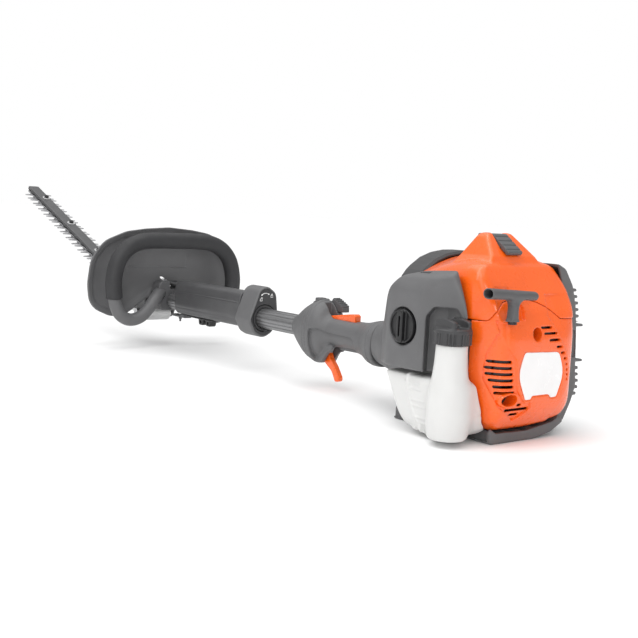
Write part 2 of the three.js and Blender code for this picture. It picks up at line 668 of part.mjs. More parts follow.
function ribbedTube() {
  const ribs = [];
  const base = tube('y', RIB_TUBE_R - 1, TUBE_R + GAP, 470, 905);
  for (let rib = 0; rib < 8; rib += 1) {
    ribs.push(box(RIB_TUBE_R - 3, RIB_TUBE_R - 0.2, 470, 905, -2.4, 2.4).rotate([0, rib * 45, 0]));
  }
  return join(base, ...ribs);
}

const driveShaft = () => join(
  cylinder('y', DRIVE_SHAFT_R, 193, 962, [0, 0], 8),
  cylinder('y', 8, 950, 962, [0, 0], 8),
);

// ---------------------------------------------------------------- tilt adjuster
function lockCollar() {
  const blank = extrude('y', outline([
    [-32, -3, 14], [-24, 18, 10], [-12, 50, 14], [5, 56, 16], [24, 43, 16], [28, 10, 16],
    [20, -24, 18], [-1, -36, 20], [-21, -25, 16],
  ]), COLLAR_Y, SLEEVE_START_Y - 1, 2.5, 3);
  const bore = cylinder('y', RIB_TUBE_R + GAP, 590, 660);
  const ringSeat = cylinder('y', LOCK_RING_R + 0.9, 590, COLLAR_Y + 14);
  const rodBore = cylinder('y', ROD_R + GAP, COLLAR_Y + 20, 660, [0, ROD_Z], 8);
  return cut(blank, bore, ringSeat, rodBore);
}

function lockRing() {
  const ring = tube('y', LOCK_RING_R, RIB_TUBE_R + GAP, COLLAR_Y + 0.6, COLLAR_Y + 13.5);
  const tab = box(-3, 3, COLLAR_Y - 5, COLLAR_Y + 4, -22.2, -18.2);
  return join(ring, tab);
}

function adjusterSleeve() {
  const outer = outline([[-21, -2, 20], [-21, 24, 20], [-18, 42, 18], [18, 42, 18], [21, 24, 20],
    [21, -2, 20], [18, -21, 16], [-18, -21, 16]]);
  const blank = extrude('y', outer, SLEEVE_START_Y, SLEEVE_END_Y, 0, 4);
  const rodChannel = extrude('y', outline([[-9, 22, 3], [9, 22, 3], [9, 38, 6], [-9, 38, 6]]), 640, 880);
  return cut(blank, cylinder('y', RIB_TUBE_R + GAP, 640, 880), rodChannel);
}

function tiltRod() {
  const bar = cylinder('y', ROD_R, COLLAR_Y + 24, 948, [0, ROD_Z], 8);
  const eye = extrude('x', outline([[944, 24, 4], [960, 24, 4], [960, 39, 5], [944, 39, 5]]), -3, 3);
  return cut(join(bar, eye), cylinder('x', 2.6, -10, 10, [953, 31], 6));
}

function sleeveClip() {
  const rail = box(-9, 9, 752, 846, -24, -21 - GAP);
  const lobes = [771, 796].map((y) => extrude('x', outline([[y - 8, -23, 2], [y + 8, -23, 2],
    [y + 7, -35, 4], [y - 7, -35, 4]]), -7, 7));
  return join(rail, ...lobes);
}

function linkBracket() {
  const bar = box(-11, 11, 853, 868, -25, -21 - GAP);
  const tongue = box(-8, 8, 853, 905, -29, -24.6);
  const pin = cylinder('z', 2, -38, -28, [0, 882], 6);
  return join(bar, tongue, pin);
}

// ---------------------------------------------------------------- loop handle and guard
// Left half of the loop from its end in the clamp to the middle of the top, (X, Y offset, Z).
const LOOP_PATH = [
  [-20, 20, 16.5], [-30, 12, 12], [-44, 2, 2], [-58, 0, -15], [-76, 0, -31], [-98, 0, -35],
  [-118, 0, -24], [-130, 0, 4], [-132, 0, 44], [-122, 0, 80], [-102, 0, 102], [-76, 0, 113],
  [-40, 0, 116], [0, 0, 116],
];

function loopPoints(skipped) {
  const left = LOOP_PATH.slice(skipped);
  const right = left.slice(0, -1).map(([x, y, z]) => [-x, y, z]).reverse();
  return [...left, ...right].map(([x, y, z]) => [x, CLAMP_Y + y, z]);
}

const loopTube = (radius = 12) => swept(loopPoints(0), radius, 36);
const loopGrip = () => cut(swept(loopPoints(7), 15.5, 20), loopTube(12.4));

function loopClamp() {
  const shape = outline([[-26, -20, 8], [26, -20, 8], [34, 10, 8], [32, 38, 8], [-32, 38, 8], [-34, 10, 8]]);
  const block = extrude('y', shape, CLAMP_Y + 6, CLAMP_Y + 34, 2);
  const bore = cylinder('y', TUBE_R + GAP, 880, 980);
  const rodChannel = box(-8, 8, 880, 980, 22, 60);
  return cut(block, bore, rodChannel, loopTube(12 + GAP));
}

function guardOutline(inset) {
  const w = 168 - inset;
  const top = 140 - inset;
  return outline([
    [-w, 30, 60], [-w + 5, 84, 50], [-134 + inset, 114 - inset * 0.8, 40], [-88, 131 - inset, 50],
    [-24, top, 60], [24, top, 60], [88, 131 - inset, 50], [134 - inset, 114 - inset * 0.8, 40],
    [w - 5, 84, 50], [w, 30, 60],
    [w - 6, -18 + inset, 34], [110, -36 + inset, 30], [56, -14 + inset, 30], [34, 8 + inset, 20],
    [-34, 8 + inset, 20], [-56, -14 + inset, 30], [-110, -36 + inset, 30], [-w + 6, -18 + inset, 34],
  ]);
}

function handGuard() {
  const plate = extrude('y', guardOutline(0), GUARD_Y - 22, GUARD_Y + 8, 6, 2);
  const dish = extrude('y', guardOutline(9), GUARD_Y - 40, GUARD_Y + 3, 4, 2);
  const rodSlot = extrude('y', outline([[-9, 18, 3], [9, 18, 3], [9, 50, 6], [-9, 50, 6]]), 900, 980);
  const tubeNotch = extrude('y', outline([[-30, -60], [30, -60], [30, 20, 12], [-30, 20, 12]]), 900, 980);
  const clampSeat = box(-36, 36, 900, CLAMP_Y + 34 + GAP, -60, 39);
  return cut(plate, dish, rodSlot, tubeNotch, clampSeat, loopTube(12 + GAP));
}

function angleHousing() {
  const nose = turned([[0, 941], [20, 941], [20, 958], [17, 965], [0, 967]], 16);
  const cavity = turned([[0, 930], [TUBE_R + GAP, 930], [TUBE_R + GAP, 958], [10, 963], [0, 963]], 16);
  const ears = [-1, 1].map((side) => extrude('x', outline([
    [955, 8], [965, 8, 3], [PIVOT_Y + 10, PIVOT_Z + 10, 8], [PIVOT_Y + 10, PIVOT_Z - 10, 8],
    [PIVOT_Y - 8, PIVOT_Z - 11, 8], [955, -12, 4],
  ]), side < 0 ? -37 : 31, side < 0 ? -31 : 37));
  const shoulder = box(-37, 37, 955, 964, -12, 8);
  const bored = cut(join(nose, shoulder, ...ears), cavity);
  const caseRoom = cylinder('x', CASE_R + 1, -30.8, 30.8, [PIVOT_Y, PIVOT_Z]);
  return cut(bored, caseRoom, cylinder('x', 5.4, -60, 60, [PIVOT_Y, PIVOT_Z], 16));
}

const pivotBolt = () => join(
  cylinder('x', 5, -42, 42, [PIVOT_Y, PIVOT_Z], 16),
  cylinder('x', 8, -42, -37.4, [PIVOT_Y, PIVOT_Z], 6),
  cylinder('x', 8, 37.4, 42, [PIVOT_Y, PIVOT_Z], 6),
);

// ---------------------------------------------------------------- cutter head
// Drawn level about the pivot: +Y along the bar, Z = -BLADE_DROP is the cutting plane.
const CRANK_Y = 46;
const CRANK_GEAR_R = 20;

function gearCase() {
  const round = cylinder('x', CASE_R, -30, 30);
  const nose = extrude('z', outline([[-28, 0, 6], [28, 0, 6], [30, 40, 14], [22, 80, 14], [-22, 80, 14],
    [-30, 40, 14]]), -BLADE_DROP + 7.5, 16, 2.5);
  const bearing = cylinder('x', 5.4, -60, 60, [0, 0], 16);
  const gearRoom = cylinder('z', CRANK_GEAR_R + 1, -BLADE_DROP, 11, [0, CRANK_Y], 16);
  const wheelRoom = cylinder('x', 14, -12, 12, [0, 0], 16);
  const wheelMouth = box(-8, 8, -14, 14, -30, -10);
  return cut(join(round, nose), bearing, gearRoom, wheelRoom, wheelMouth);
}

// Gear on the pivot axis that carries the drive round the joint.
function pivotGear() {
  const teeth = [];
  for (let i = 0; i < 8; i += 1) {
    teeth.push(box(9.5, 12.8, -1.2, 1.2, -6, 6).rotate([0, 0, i * 45]));
  }
  const wheel = join(cylinder('z', 11, -6, 6, [0, 0], 12), ...teeth);
  return cut(wheel, cylinder('z', 5.4, -10, 10, [0, 0], 16)).rotate([0, 90, 0]);
}

const crankGear = () => cylinder('z', CRANK_GEAR_R, -BLADE_DROP + 8, 10, [0, CRANK_Y], 16);

const casePlate = () => extrude('z', outline([[-26, 22, 4], [26, 22, 4], [28, 44, 12], [20, 74, 10],
  [-20, 74, 10], [-28, 44, 12]]), -BLADE_DROP - 10, -BLADE_DROP - 3);

// Toothed blade in plan, (X, Y); phase shifts the teeth along the bar.
function bladeOutline(phase) {
  const edge = [];
  const first = BLADE_START + 20 + phase;
  const count = Math.floor((BLADE_LENGTH - 30) / TOOTH_PITCH);
  for (let tooth = 0; tooth < count; tooth += 1) {
    const y = first + tooth * TOOTH_PITCH;
    edge.push([BLADE_HALF_W, y], [TOOTH_TIP_W, y + 3], [TOOTH_TIP_W, y + 7], [BLADE_HALF_W, y + 15]);
  }
  const end = BLADE_START + BLADE_LENGTH;
  const heel = [[BLADE_HALF_W, BLADE_START - 34]];
  const tip = [[BLADE_HALF_W, end - 8], [BLADE_HALF_W - 6, end]];
  const mirrored = (points) => points.map(([x, y]) => [-x, y]).reverse();
  const corners = [...heel, ...edge, ...tip, ...mirrored(tip), ...mirrored(edge), ...mirrored(heel)];
  return outline(corners);
}

const BLADE_THICK = 2;
const BOLT_ROW = [0, 1, 2, 3].map((i) => BLADE_START + 70 + i * 155);

function blade(phase, z) {
  const flat = extrude('z', bladeOutline(phase), z, z + BLADE_THICK);
  return cut(flat, ...BOLT_ROW.map((y) => box(-3.4, 3.4, y - 13, y + 13, z - 5, z + 5)));
}

function guideBar() {
  const start = BLADE_START + 18.5;
  const end = BLADE_START + BLADE_LENGTH - 1;
  const bar = extrude('z', outline([[-BAR_HALF_W, start], [BAR_HALF_W, start], [BAR_HALF_W, end, 5],
    [-BAR_HALF_W, end, 5]]), -BLADE_DROP + 2.8, -BLADE_DROP + 10.4);
  const studs = BOLT_ROW.map((y) => cylinder('z', 2.8, -BLADE_DROP - 5, -BLADE_DROP + 4, [0, y], 6));
  const heads = BOLT_ROW.map((y) => cylinder('z', 7, -BLADE_DROP + 10, -BLADE_DROP + 15, [0, y], 6));
  return join(bar, ...studs, ...heads);
}

// ---------------------------------------------------------------- assembly
const engine = group(
  part('starter_cover', starterCover(), 'orange'),
  part('rear_label_plate', labelPlate(), 'label'),
  part('upper_cover', upperCover(), 'orange'),
  part('cover_latch_insert', latchInsert(0), 'grey'),
  part('recoil_pulley', recoilPulley(), 'grey'),
  part('recoil_spring', recoilSpring(), 'steel'),
  part('starter_rope_coil', ropeCoil(), 'rope'),
  part('starter_handle', starterHandle(), 'grey'),
  part('fuel_tank', fuelTank(), 'tank'),
  part('fuel_cap', fuelCap(), 'dark'),
  part('fuel_cap_seal', capSeal(), 'black'),
  part('air_filter_cover', filterCover(), 'grey'),
  part('filter_cover_knob', filterKnob(), 'black'),
  part('air_filter', airFilter(), 'ceramic'),
  part('air_box', airBox(), 'dark'),
  part('primer_bulb', primerBulb(), 'black'),
  part('choke_lever', chokeLever(), 'black'),
  part('carburettor', carburettor(), 'alloy'),
  part('crankcase', crankcase(), 'alloy'),
  part('cylinder', cylinderBlock(), 'alloy'),
  part('piston', piston(), 'alloy'),
  part('connecting_rod', connectingRod(), 'steel'),
  part('crankshaft', crankshaft(), 'steel'),
  part('flywheel', flywheel(), 'alloy'),
  part('ignition_coil', ignitionCoil(), 'black'),
  part('spark_plug', sparkPlug(), 'ceramic'),
  part('muffler', muffler(), 'steel'),
  part('clutch_shoes', clutchShoes(), 'steel'),
  part('clutch_drum', clutchDrum(), 'steel'),
  part('clutch_housing', clutchHousing(), 'midGrey'),
  part('muffler_guard', mufflerGuard(), 'dark'),
  part('base_guard', baseGuard(), 'dark'),
  part('front_shroud', frontShroud(), 'dark'),
);

const controls = group(
  part('throttle_handle', throttleHandle(), 'midGrey'),
  part('handle_nose', handleNose(), 'midGrey'),
  part('throttle_trigger', throttleTrigger(), 'orange'),
  part('throttle_lockout', throttleLockout(), 'orange'),
  part('stop_switch', stopSwitch(), 'dark'),
);

const shaft = group(
  part('drive_tube', driveTube(), 'alloy'),
  part('ribbed_tube', ribbedTube(), 'midGrey'),
  part('drive_shaft', driveShaft(), 'steel'),
);

const adjuster = group(
  part('lock_collar', lockCollar(), 'midGrey'),
  part('lock_ring', lockRing(), 'dark'),
  part('adjuster_sleeve', adjusterSleeve(), 'anodised'),
  part('tilt_rod', tiltRod(), 'steel'),
  part('sleeve_clip', sleeveClip(), 'black'),
  part('link_bracket', linkBracket(), 'grey'),
);

const front = group(
  part('loop_handle_tube', loopTube(), 'midGrey'),
  part('loop_handle_grip', loopGrip(), 'rubber'),
  part('loop_clamp', loopClamp(), 'grey'),
  part('hand_guard', handGuard(), 'dark'),
  part('angle_housing', angleHousing(), 'dark'),
  part('pivot_bolt', pivotBolt(), 'steel'),
);

const cutterHead = group(
  part('gear_case', gearCase(), 'alloy'),
  part('pivot_gear', pivotGear(), 'steel'),
  part('crank_gear', crankGear(), 'steel'),
  part('gear_case_plate', casePlate(), 'alloy'),
  part('upper_blade', blade(0, -BLADE_DROP + 0.3), 'steel'),
  part('lower_blade', blade(TOOTH_PITCH / 2, -BLADE_DROP - BLADE_THICK), 'steel'),
  part('guide_bar', guideBar(), 'steel'),
);
cutterHead.position.set(0, PIVOT_Y, PIVOT_Z);
cutterHead.rotation.x = BLADE_TILT;

const machine = group(engine, controls, shaft, adjuster, front, cutterHead);
const extent = new THREE.Box3().setFromObject(machine, true);
const middle = extent.getCenter(new THREE.Vector3());
machine.position.set(-middle.x, -middle.y, -extent.min.z);

export default machine;
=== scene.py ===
"""Pole hedge trimmer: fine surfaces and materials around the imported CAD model.

Shapes are given in millimetres in the machine's own frame: the shaft axis is X = Z = 0, Y = 0 is the
rear face of the starter cover, +Y points to the cutter bar and +X is the operator's right. Moulded
pieces are signed distance fields sampled on a grid and skinned; turned, extruded and swept pieces are
meshed directly.
"""
import math

import bpy
import numpy as np
from mathutils import Matrix, Vector


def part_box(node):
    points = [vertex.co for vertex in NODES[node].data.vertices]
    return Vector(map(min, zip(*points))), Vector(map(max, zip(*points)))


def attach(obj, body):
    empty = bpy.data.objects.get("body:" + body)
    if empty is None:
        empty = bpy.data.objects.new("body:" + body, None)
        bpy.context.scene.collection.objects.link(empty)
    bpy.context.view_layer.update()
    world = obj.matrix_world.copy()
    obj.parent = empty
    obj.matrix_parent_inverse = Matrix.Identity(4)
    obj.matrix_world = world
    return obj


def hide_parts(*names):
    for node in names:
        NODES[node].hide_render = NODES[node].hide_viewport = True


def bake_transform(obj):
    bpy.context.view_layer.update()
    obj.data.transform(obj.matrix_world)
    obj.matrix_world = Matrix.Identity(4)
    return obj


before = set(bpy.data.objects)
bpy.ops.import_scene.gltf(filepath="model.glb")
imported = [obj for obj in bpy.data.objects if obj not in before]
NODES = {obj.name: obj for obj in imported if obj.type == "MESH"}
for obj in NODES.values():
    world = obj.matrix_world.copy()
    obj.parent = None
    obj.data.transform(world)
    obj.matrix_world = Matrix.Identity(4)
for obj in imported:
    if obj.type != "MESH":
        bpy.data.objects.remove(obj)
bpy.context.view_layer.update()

MM = 0.001
TUBE_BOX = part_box("drive_tube")
ORIGIN = Vector((
    (TUBE_BOX[0].x + TUBE_BOX[1].x) / 2,
    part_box("starter_cover")[0].y,
    (TUBE_BOX[0].z + TUBE_BOX[1].z) / 2,
))
DETAIL = 1.0
FAR = 400.0                              # past the end of any engine piece


def placed(point):
    """A point in machine millimetres as a point in the frame, in metres."""
    return Vector(point) * MM + ORIGIN


# ------------------------------------------------------------------ materials
def tree(name):
    material = bpy.data.materials.new(name)
    material.use_nodes = True
    nodes, links = material.node_tree.nodes, material.node_tree.links
    return material, nodes, links, nodes["Principled BSDF"]


def noise(nodes, links, scale, detail, stretch=(1, 1, 1)):
    """Noise in the object's own coordinates, in features per metre."""
    coords = nodes.new("ShaderNodeTexCoord")
    mapping = nodes.new("ShaderNodeMapping")
    mapping.inputs["Scale"].default_value = stretch
    texture = nodes.new("ShaderNodeTexNoise")
    texture.inputs["Scale"].default_value = scale
    texture.inputs["Detail"].default_value = detail
    links.new(coords.outputs["Object"], mapping.inputs["Vector"])
    links.new(mapping.outputs["Vector"], texture.inputs["Vector"])
    return texture.outputs["Fac"]


def spread(nodes, links, value, low, high):
    ranged = nodes.new("ShaderNodeMapRange")
    ranged.inputs["From Min"].default_value = 0.3
    ranged.inputs["From Max"].default_value = 0.7
    ranged.inputs["To Min"].default_value = low
    ranged.inputs["To Max"].default_value = high
    links.new(value, ranged.inputs["Value"])
    return ranged.outputs["Result"]


GRAIN_DEPTH = 0.2 * MM
ROUGHNESS_WEAR = 0.05


def finish(name, colour, rough, grain, bump, tone, metal=0.0, coat=0.0, stretch=(1, 1, 1)):
    """Surface with mottled colour, uneven roughness and a fine grain of real depth."""
    material, nodes, links, shader = tree(name)
    mix = nodes.new("ShaderNodeMix")
    mix.data_type = "RGBA"
    mix.inputs["A"].default_value = (*[c * (1 - tone) for c in colour], 1)
    mix.inputs["B"].default_value = (*[min(1.0, c * (1 + tone)) for c in colour], 1)
    links.new(spread(nodes, links, noise(nodes, links, 26, 4), 0, 1), mix.inputs["Factor"])
    links.new(mix.outputs["Result"], shader.inputs["Base Color"])
    blotch = noise(nodes, links, 60, 5, stretch)
    worn = spread(nodes, links, blotch, rough - ROUGHNESS_WEAR, rough + ROUGHNESS_WEAR)
    links.new(worn, shader.inputs["Roughness"])
    relief = nodes.new("ShaderNodeBump")
    relief.inputs["Strength"].default_value = bump
    relief.inputs["Distance"].default_value = GRAIN_DEPTH
    links.new(noise(nodes, links, grain, 2, stretch), relief.inputs["Height"])
    links.new(relief.outputs["Normal"], shader.inputs["Normal"])
    shader.inputs["Metallic"].default_value = metal
    shader.inputs["Coat Weight"].default_value = coat
    shader.inputs["Coat Roughness"].default_value = 0.08
    return material


BRUSH_ALONG_Y = (1, 0.02, 1)
LOOKS = {
    "orange_plastic": finish("orange_gloss", (0.91, 0.120, 0.006), 0.28, 500, 0.04, 0.04, coat=0.35),
    "grey_plastic": finish("grey_moulded", (0.090, 0.090, 0.093), 0.50, 1400, 0.35, 0.07),
    "mid_grey_plastic": finish("mid_grey_moulded", (0.115, 0.115, 0.118), 0.48, 1400, 0.32, 0.06),
    "dark_plastic": finish("dark_moulded", (0.040, 0.040, 0.042), 0.46, 1400, 0.35, 0.08),
    "black_plastic": finish("black_satin", (0.010, 0.010, 0.011), 0.32, 1200, 0.15, 0.1),
    "tank_plastic": finish("tank_milky", (0.66, 0.66, 0.65), 0.36, 300, 0.08, 0.02),
    "blank_label": finish("label_film", (0.86, 0.86, 0.86), 0.24, 500, 0.04, 0.02),
    "rubber": finish("rubber_matt", (0.026, 0.026, 0.028), 0.62, 1700, 0.5, 0.1),
    "cast_alloy": finish("cast_blasted", (0.62, 0.62, 0.62), 0.50, 1100, 0.5, 0.06, metal=0.85),
    "anodised_alloy": finish("anodised_brushed", (0.085, 0.085, 0.088), 0.38, 700, 0.3, 0.1, metal=0.35,
                             stretch=BRUSH_ALONG_Y),
    "bar_alloy": finish("extruded_alloy", (0.24, 0.24, 0.245), 0.34, 700, 0.25, 0.06, metal=0.7,
                        stretch=BRUSH_ALONG_Y),
    "ground_steel": finish("ground_steel", (0.42, 0.42, 0.43), 0.30, 900, 0.35, 0.1, metal=0.9,
                           stretch=(0.05, 1, 1)),
    "dark_steel": finish("phosphated_steel", (0.035, 0.035, 0.037), 0.45, 900, 0.3, 0.15, metal=0.5),
    "ceramic": finish("glazed_ceramic", (0.88, 0.87, 0.82), 0.15, 400, 0.05, 0.03, coat=0.5),
    "filter_felt": finish("filter_felt", (0.62, 0.58, 0.46), 0.9, 2400, 0.9, 0.12),
    "rope_fibre": finish("braided_rope", (0.62, 0.59, 0.52), 0.85, 2600, 0.9, 0.15),
}
TANK_SHADER = LOOKS["tank_plastic"].node_tree.nodes["Principled BSDF"]
TANK_SHADER.inputs["Subsurface Weight"].default_value = 0.15
TANK_SHADER.inputs["Subsurface Radius"].default_value = (8 * MM, 8 * MM, 8 * MM)


def dress(obj, slot, body, *nodes):
    """Gives a new piece its material slot and body, and hides the CAD nodes it stands for."""
    obj.data.materials.clear()
    obj.data.materials.append(LOOKS[slot])
    if nodes:
        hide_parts(*nodes)
    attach(obj, body)
    return obj


# ------------------------------------------------------------------ signed distances
class Grid:
    """A block of sample points, in machine millimetres."""

    def __init__(self, low, high, step):
        self.step = step * DETAIL
        self.low = np.array(low, float)
        axes = [np.arange(a, b + self.step, self.step) for a, b in zip(low, high)]
        self.x, self.y, self.z = np.meshgrid(*axes, indexing="ij", sparse=True)


def rounded(points):
    """Closed outline from [u, v, radius] corners, each rounded by an arc of that radius."""
    found = []
    count = len(points)
    for i, corner in enumerate(points):
        here = np.array(corner[:2], float)
        radius = corner[2] if len(corner) > 2 else 0.0
        back = np.array(points[i - 1][:2], float) - here
        ahead = np.array(points[(i + 1) % count][:2], float) - here
        sides = [np.linalg.norm(back), np.linalg.norm(ahead)]
        back, ahead = back / sides[0], ahead / sides[1]
        half = math.acos(float(np.clip(back @ ahead, -1, 1))) / 2
        if radius == 0 or half > 1.54:
            found.append(here)
            continue
        reach = min(radius / math.tan(half), 0.49 * min(sides))
        radius = reach * math.tan(half)
        middle = here + (back + ahead) / np.linalg.norm(back + ahead) * radius / math.sin(half)
        first, last = here + back * reach - middle, here + ahead * reach - middle
        turn = math.atan2(first[0] * last[1] - first[1] * last[0], first @ last)
        steps = max(2, int(abs(turn) / 0.18))
        for k in range(steps + 1):
            c, s = math.cos(turn * k / steps), math.sin(turn * k / steps)
            found.append(middle + np.array([first[0] * c - first[1] * s, first[0] * s + first[1] * c]))
    return np.array(found)


def outline(points, u, v):
    """Signed distance to a rounded outline, negative inside."""
    loop = rounded(points)
    nearest = np.full(np.broadcast(u, v).shape, 1e12)
    inside = np.zeros(nearest.shape, bool)
    for a, b in zip(loop, np.roll(loop, -1, axis=0)):
        edge = b - a
        share = np.clip(((u - a[0]) * edge[0] + (v - a[1]) * edge[1]) / (edge @ edge + 1e-12), 0, 1)
        nearest = np.minimum(nearest, (u - a[0] - edge[0] * share) ** 2 + (v - a[1] - edge[1] * share) ** 2)
        if a[1] != b[1]:
            crosses = (a[1] > v) != (b[1] > v)
            inside ^= crosses & (u < a[0] + (v - a[1]) * edge[0] / edge[1])
    return np.where(inside, -1, 1) * np.sqrt(nearest)


def disc(u, v, centre, radius):
    return np.hypot(u - centre[0], v - centre[1]) - radius


def slab(s, low, high):
    return np.abs(s - (low + high) / 2) - (high - low) / 2


def both(a, b, soft=0.0):
    """Where two shapes overlap, with the edge between them rounded."""
    if soft == 0:
        return np.maximum(a, b)
    return np.maximum(a, b) + np.maximum(soft - np.abs(a - b), 0) ** 2 / (4 * soft)


def either(a, b, soft=0.0):
    return -both(-a, -b, soft)


def without(a, b, soft=0.0):
    return both(a, -b, soft)


def prism(flat, s, low, high, edge=0.0):
    """A flat shape carried from low to high along s, with its edges rounded."""
    a, b = flat + edge, slab(s, low, high) + edge
    return np.minimum(np.maximum(a, b), 0) + np.hypot(np.maximum(a, 0), np.maximum(b, 0)) - edge


def bar(g, start, end, radius):
    """Round-ended bar between two points."""
    a, d = np.array(start, float), np.array(end, float) - np.array(start, float)
    share = np.clip(((g.x - a[0]) * d[0] + (g.y - a[1]) * d[1] + (g.z - a[2]) * d[2]) / (d @ d), 0, 1)
    return np.sqrt((g.x - a[0] - d[0] * share) ** 2 + (g.y - a[1] - d[1] * share) ** 2
                   + (g.z - a[2] - d[2] * share) ** 2) - radius


def block(g, low, high, edge=0.0):
    flat = prism(slab(g.x, low[0], high[0]), g.y, low[1], high[1], edge)
    return prism(flat, g.z, low[2], high[2], edge)


def barrel(g, stations, power):
    """Body along Y from [y, half width, top, bottom] stations; power 2 is round, more is squarer."""
    table = np.array(stations, float)
    where = g.y.ravel()
    half, top, bottom = [ease(where, table[:, 0], table[:, i])[None, :, None] for i in (1, 2, 3)]
    tall = (top - bottom) / 2
    u, v = np.abs(g.x) / half, np.abs(g.z - (top + bottom) / 2) / tall
    size = (u ** power + v ** power) ** (1 / power)
    return both((size - 1) * np.minimum(half, tall), slab(g.y, table[0, 0], table[-1, 0]), 3)


def ease(where, stations, values):
    """Smooth curve through the stations that never overshoots them."""
    steps = np.diff(values) / np.diff(stations)
    slopes = np.zeros(len(values))
    same = steps[1:] * steps[:-1] > 0
    slopes[1:-1][same] = 2 * steps[1:][same] * steps[:-1][same] / (steps[1:][same] + steps[:-1][same])
    i = np.clip(np.searchsorted(stations, where) - 1, 0, len(stations) - 2)
    width = (stations[1:] - stations[:-1])[i]
    t = np.clip((where - stations[i]) / width, 0, 1)
    return (values[i] * (1 + 2 * t) * (1 - t) ** 2 + values[i + 1] * t * t * (3 - 2 * t)
            + slopes[i] * width * t * (1 - t) ** 2 + slopes[i + 1] * width * t * t * (t - 1))


# ------------------------------------------------------------------ meshing
def skin(field):
    """Vertices and quads of the surface where the field is zero (surface nets)."""
    inside = field < 0
    cells = np.array(field.shape) - 1
    corners = [(i, j, k) for i in (0, 1) for j in (0, 1) for k in (0, 1)]

    def shifted(array, c):
        return array[c[0]:c[0] + cells[0], c[1]:c[1] + cells[1], c[2]:c[2] + cells[2]]

    filled = sum(shifted(inside, c).astype(np.int8) for c in corners)
    active = (filled > 0) & (filled < 8)
    number = np.full(active.shape, -1, np.int64)
    number[active] = np.arange(active.sum())
    total, crossings = np.zeros((active.sum(), 3)), np.zeros(active.sum())
    for a in corners:
        for axis in range(3):
            if a[axis]:
                continue
            b = tuple(1 if i == axis else a[i] for i in range(3))
            fa, fb = shifted(field, a)[active], shifted(field, b)[active]
            crossed = (fa < 0) != (fb < 0)
            share = np.where(crossed, fa / np.where(crossed, fa - fb, 1), 0)
            point = np.tile(np.array(a, float), (len(fa), 1))
            point[:, axis] += share
            total += point * crossed[:, None]
            crossings += crossed
    points = np.argwhere(active) + total / crossings[:, None]
    quads = []
    for axis in range(3):
        u, v = (axis + 1) % 3, (axis + 2) % 3
        ahead = np.take(inside, range(1, inside.shape[axis]), axis)
        behind = np.take(inside, range(inside.shape[axis] - 1), axis)
        found = np.argwhere(ahead != behind)
        room = (found[:, u] > 0) & (found[:, v] > 0) & (found[:, u] < cells[u]) & (found[:, v] < cells[v])
        found = found[room]
        outward = behind[tuple(found.T)]
        eu, ev = np.eye(3, dtype=int)[u], np.eye(3, dtype=int)[v]
        ring = [number[tuple((found - shift).T)] for shift in (eu + ev, ev, 0 * eu, eu)]
        quad = np.stack(ring, 1)
        quads.append(np.where(outward[:, None], quad, quad[:, ::-1]))
    return settle(points, field), np.concatenate(quads)


def settle(points, field):
    """Moves the vertices onto the field's zero surface."""
    slopes = np.gradient(field)
    for _ in range(3):
        base = np.clip(np.floor(points).astype(int), 0, np.array(field.shape) - 2)
        part = points - base
        sample = [np.zeros(len(points)) for _ in range(4)]
        for i in (0, 1):
            for j in (0, 1):
                for k in (0, 1):
                    weight = (abs(1 - i - part[:, 0]) * abs(1 - j - part[:, 1]) * abs(1 - k - part[:, 2]))
                    at = (base[:, 0] + i, base[:, 1] + j, base[:, 2] + k)
                    for n, source in enumerate([field, *slopes]):
                        sample[n] += weight * source[at]
        slope = np.stack(sample[1:], 1)
        move = -sample[0][:, None] * slope / np.maximum((slope ** 2).sum(1), 0.05)[:, None]
        points = points + np.clip(move, -0.3, 0.3)
    return points


def mesh_object(name, points, faces):
    """Object from points in machine millimetres."""
    mesh = bpy.data.meshes.new(name)
    spots = np.asarray(points, float) * MM + np.array(ORIGIN)
    mesh.from_pydata(spots.tolist(), [], [list(map(int, f)) for f in faces])
    mesh.validate()
    mesh.polygons.foreach_set("use_smooth", [True] * len(mesh.polygons))
    obj = bpy.data.objects.new(name, mesh)
    bpy.context.scene.collection.objects.link(obj)
    return obj


def applied(obj, **modifiers):
    """Replaces the mesh by what its modifiers make of it."""
    for kind, settings in modifiers.items():
        modifier = obj.modifiers.new(kind, kind)
        for key, value in settings.items():
            setattr(modifier, key, value)
    shown = obj.evaluated_get(bpy.context.evaluated_depsgraph_get())
    mesh = bpy.data.meshes.new_from_object(shown)
    obj.modifiers.clear()
    obj.data = mesh
    return obj


def moulded(name, field, g, keep=0.35):
    """Piece from a field, thinned where it is flat."""
    field = np.broadcast_to(field, np.broadcast(g.x, g.y, g.z).shape).astype(np.float32)
    points, quads = skin(field)
    corner = np.array([g.x.flat[0], g.y.flat[0], g.z.flat[0]])
    obj = mesh_object(name, points * g.step + corner, quads)
    applied(obj, DECIMATE={"ratio": keep})
    obj.data.polygons.foreach_set("use_smooth", [True] * len(obj.data.polygons))
    obj.data.set_sharp_from_angle(angle=math.radians(42))
    return obj


def swept(name, path, radius, sides):
    """Round bar along points; radius is one number or one for each point."""
    path = np.array(path, float)
    radii = np.broadcast_to(radius, len(path))
    along = np.gradient(path, axis=0)
    along /= np.linalg.norm(along, axis=1)[:, None]
    side = np.cross(along[0], [0.1, 0.2, 1.0])
    rings = []
    for point, direction, r in zip(path, along, radii):
        side = side - direction * (side @ direction)
        side /= np.linalg.norm(side)
        up = np.cross(direction, side)
        turn = np.linspace(0, 2 * math.pi, sides, endpoint=False)[:, None]
        rings.append(point + r * (np.cos(turn) * side + np.sin(turn) * up))
    return ringed(name, rings)


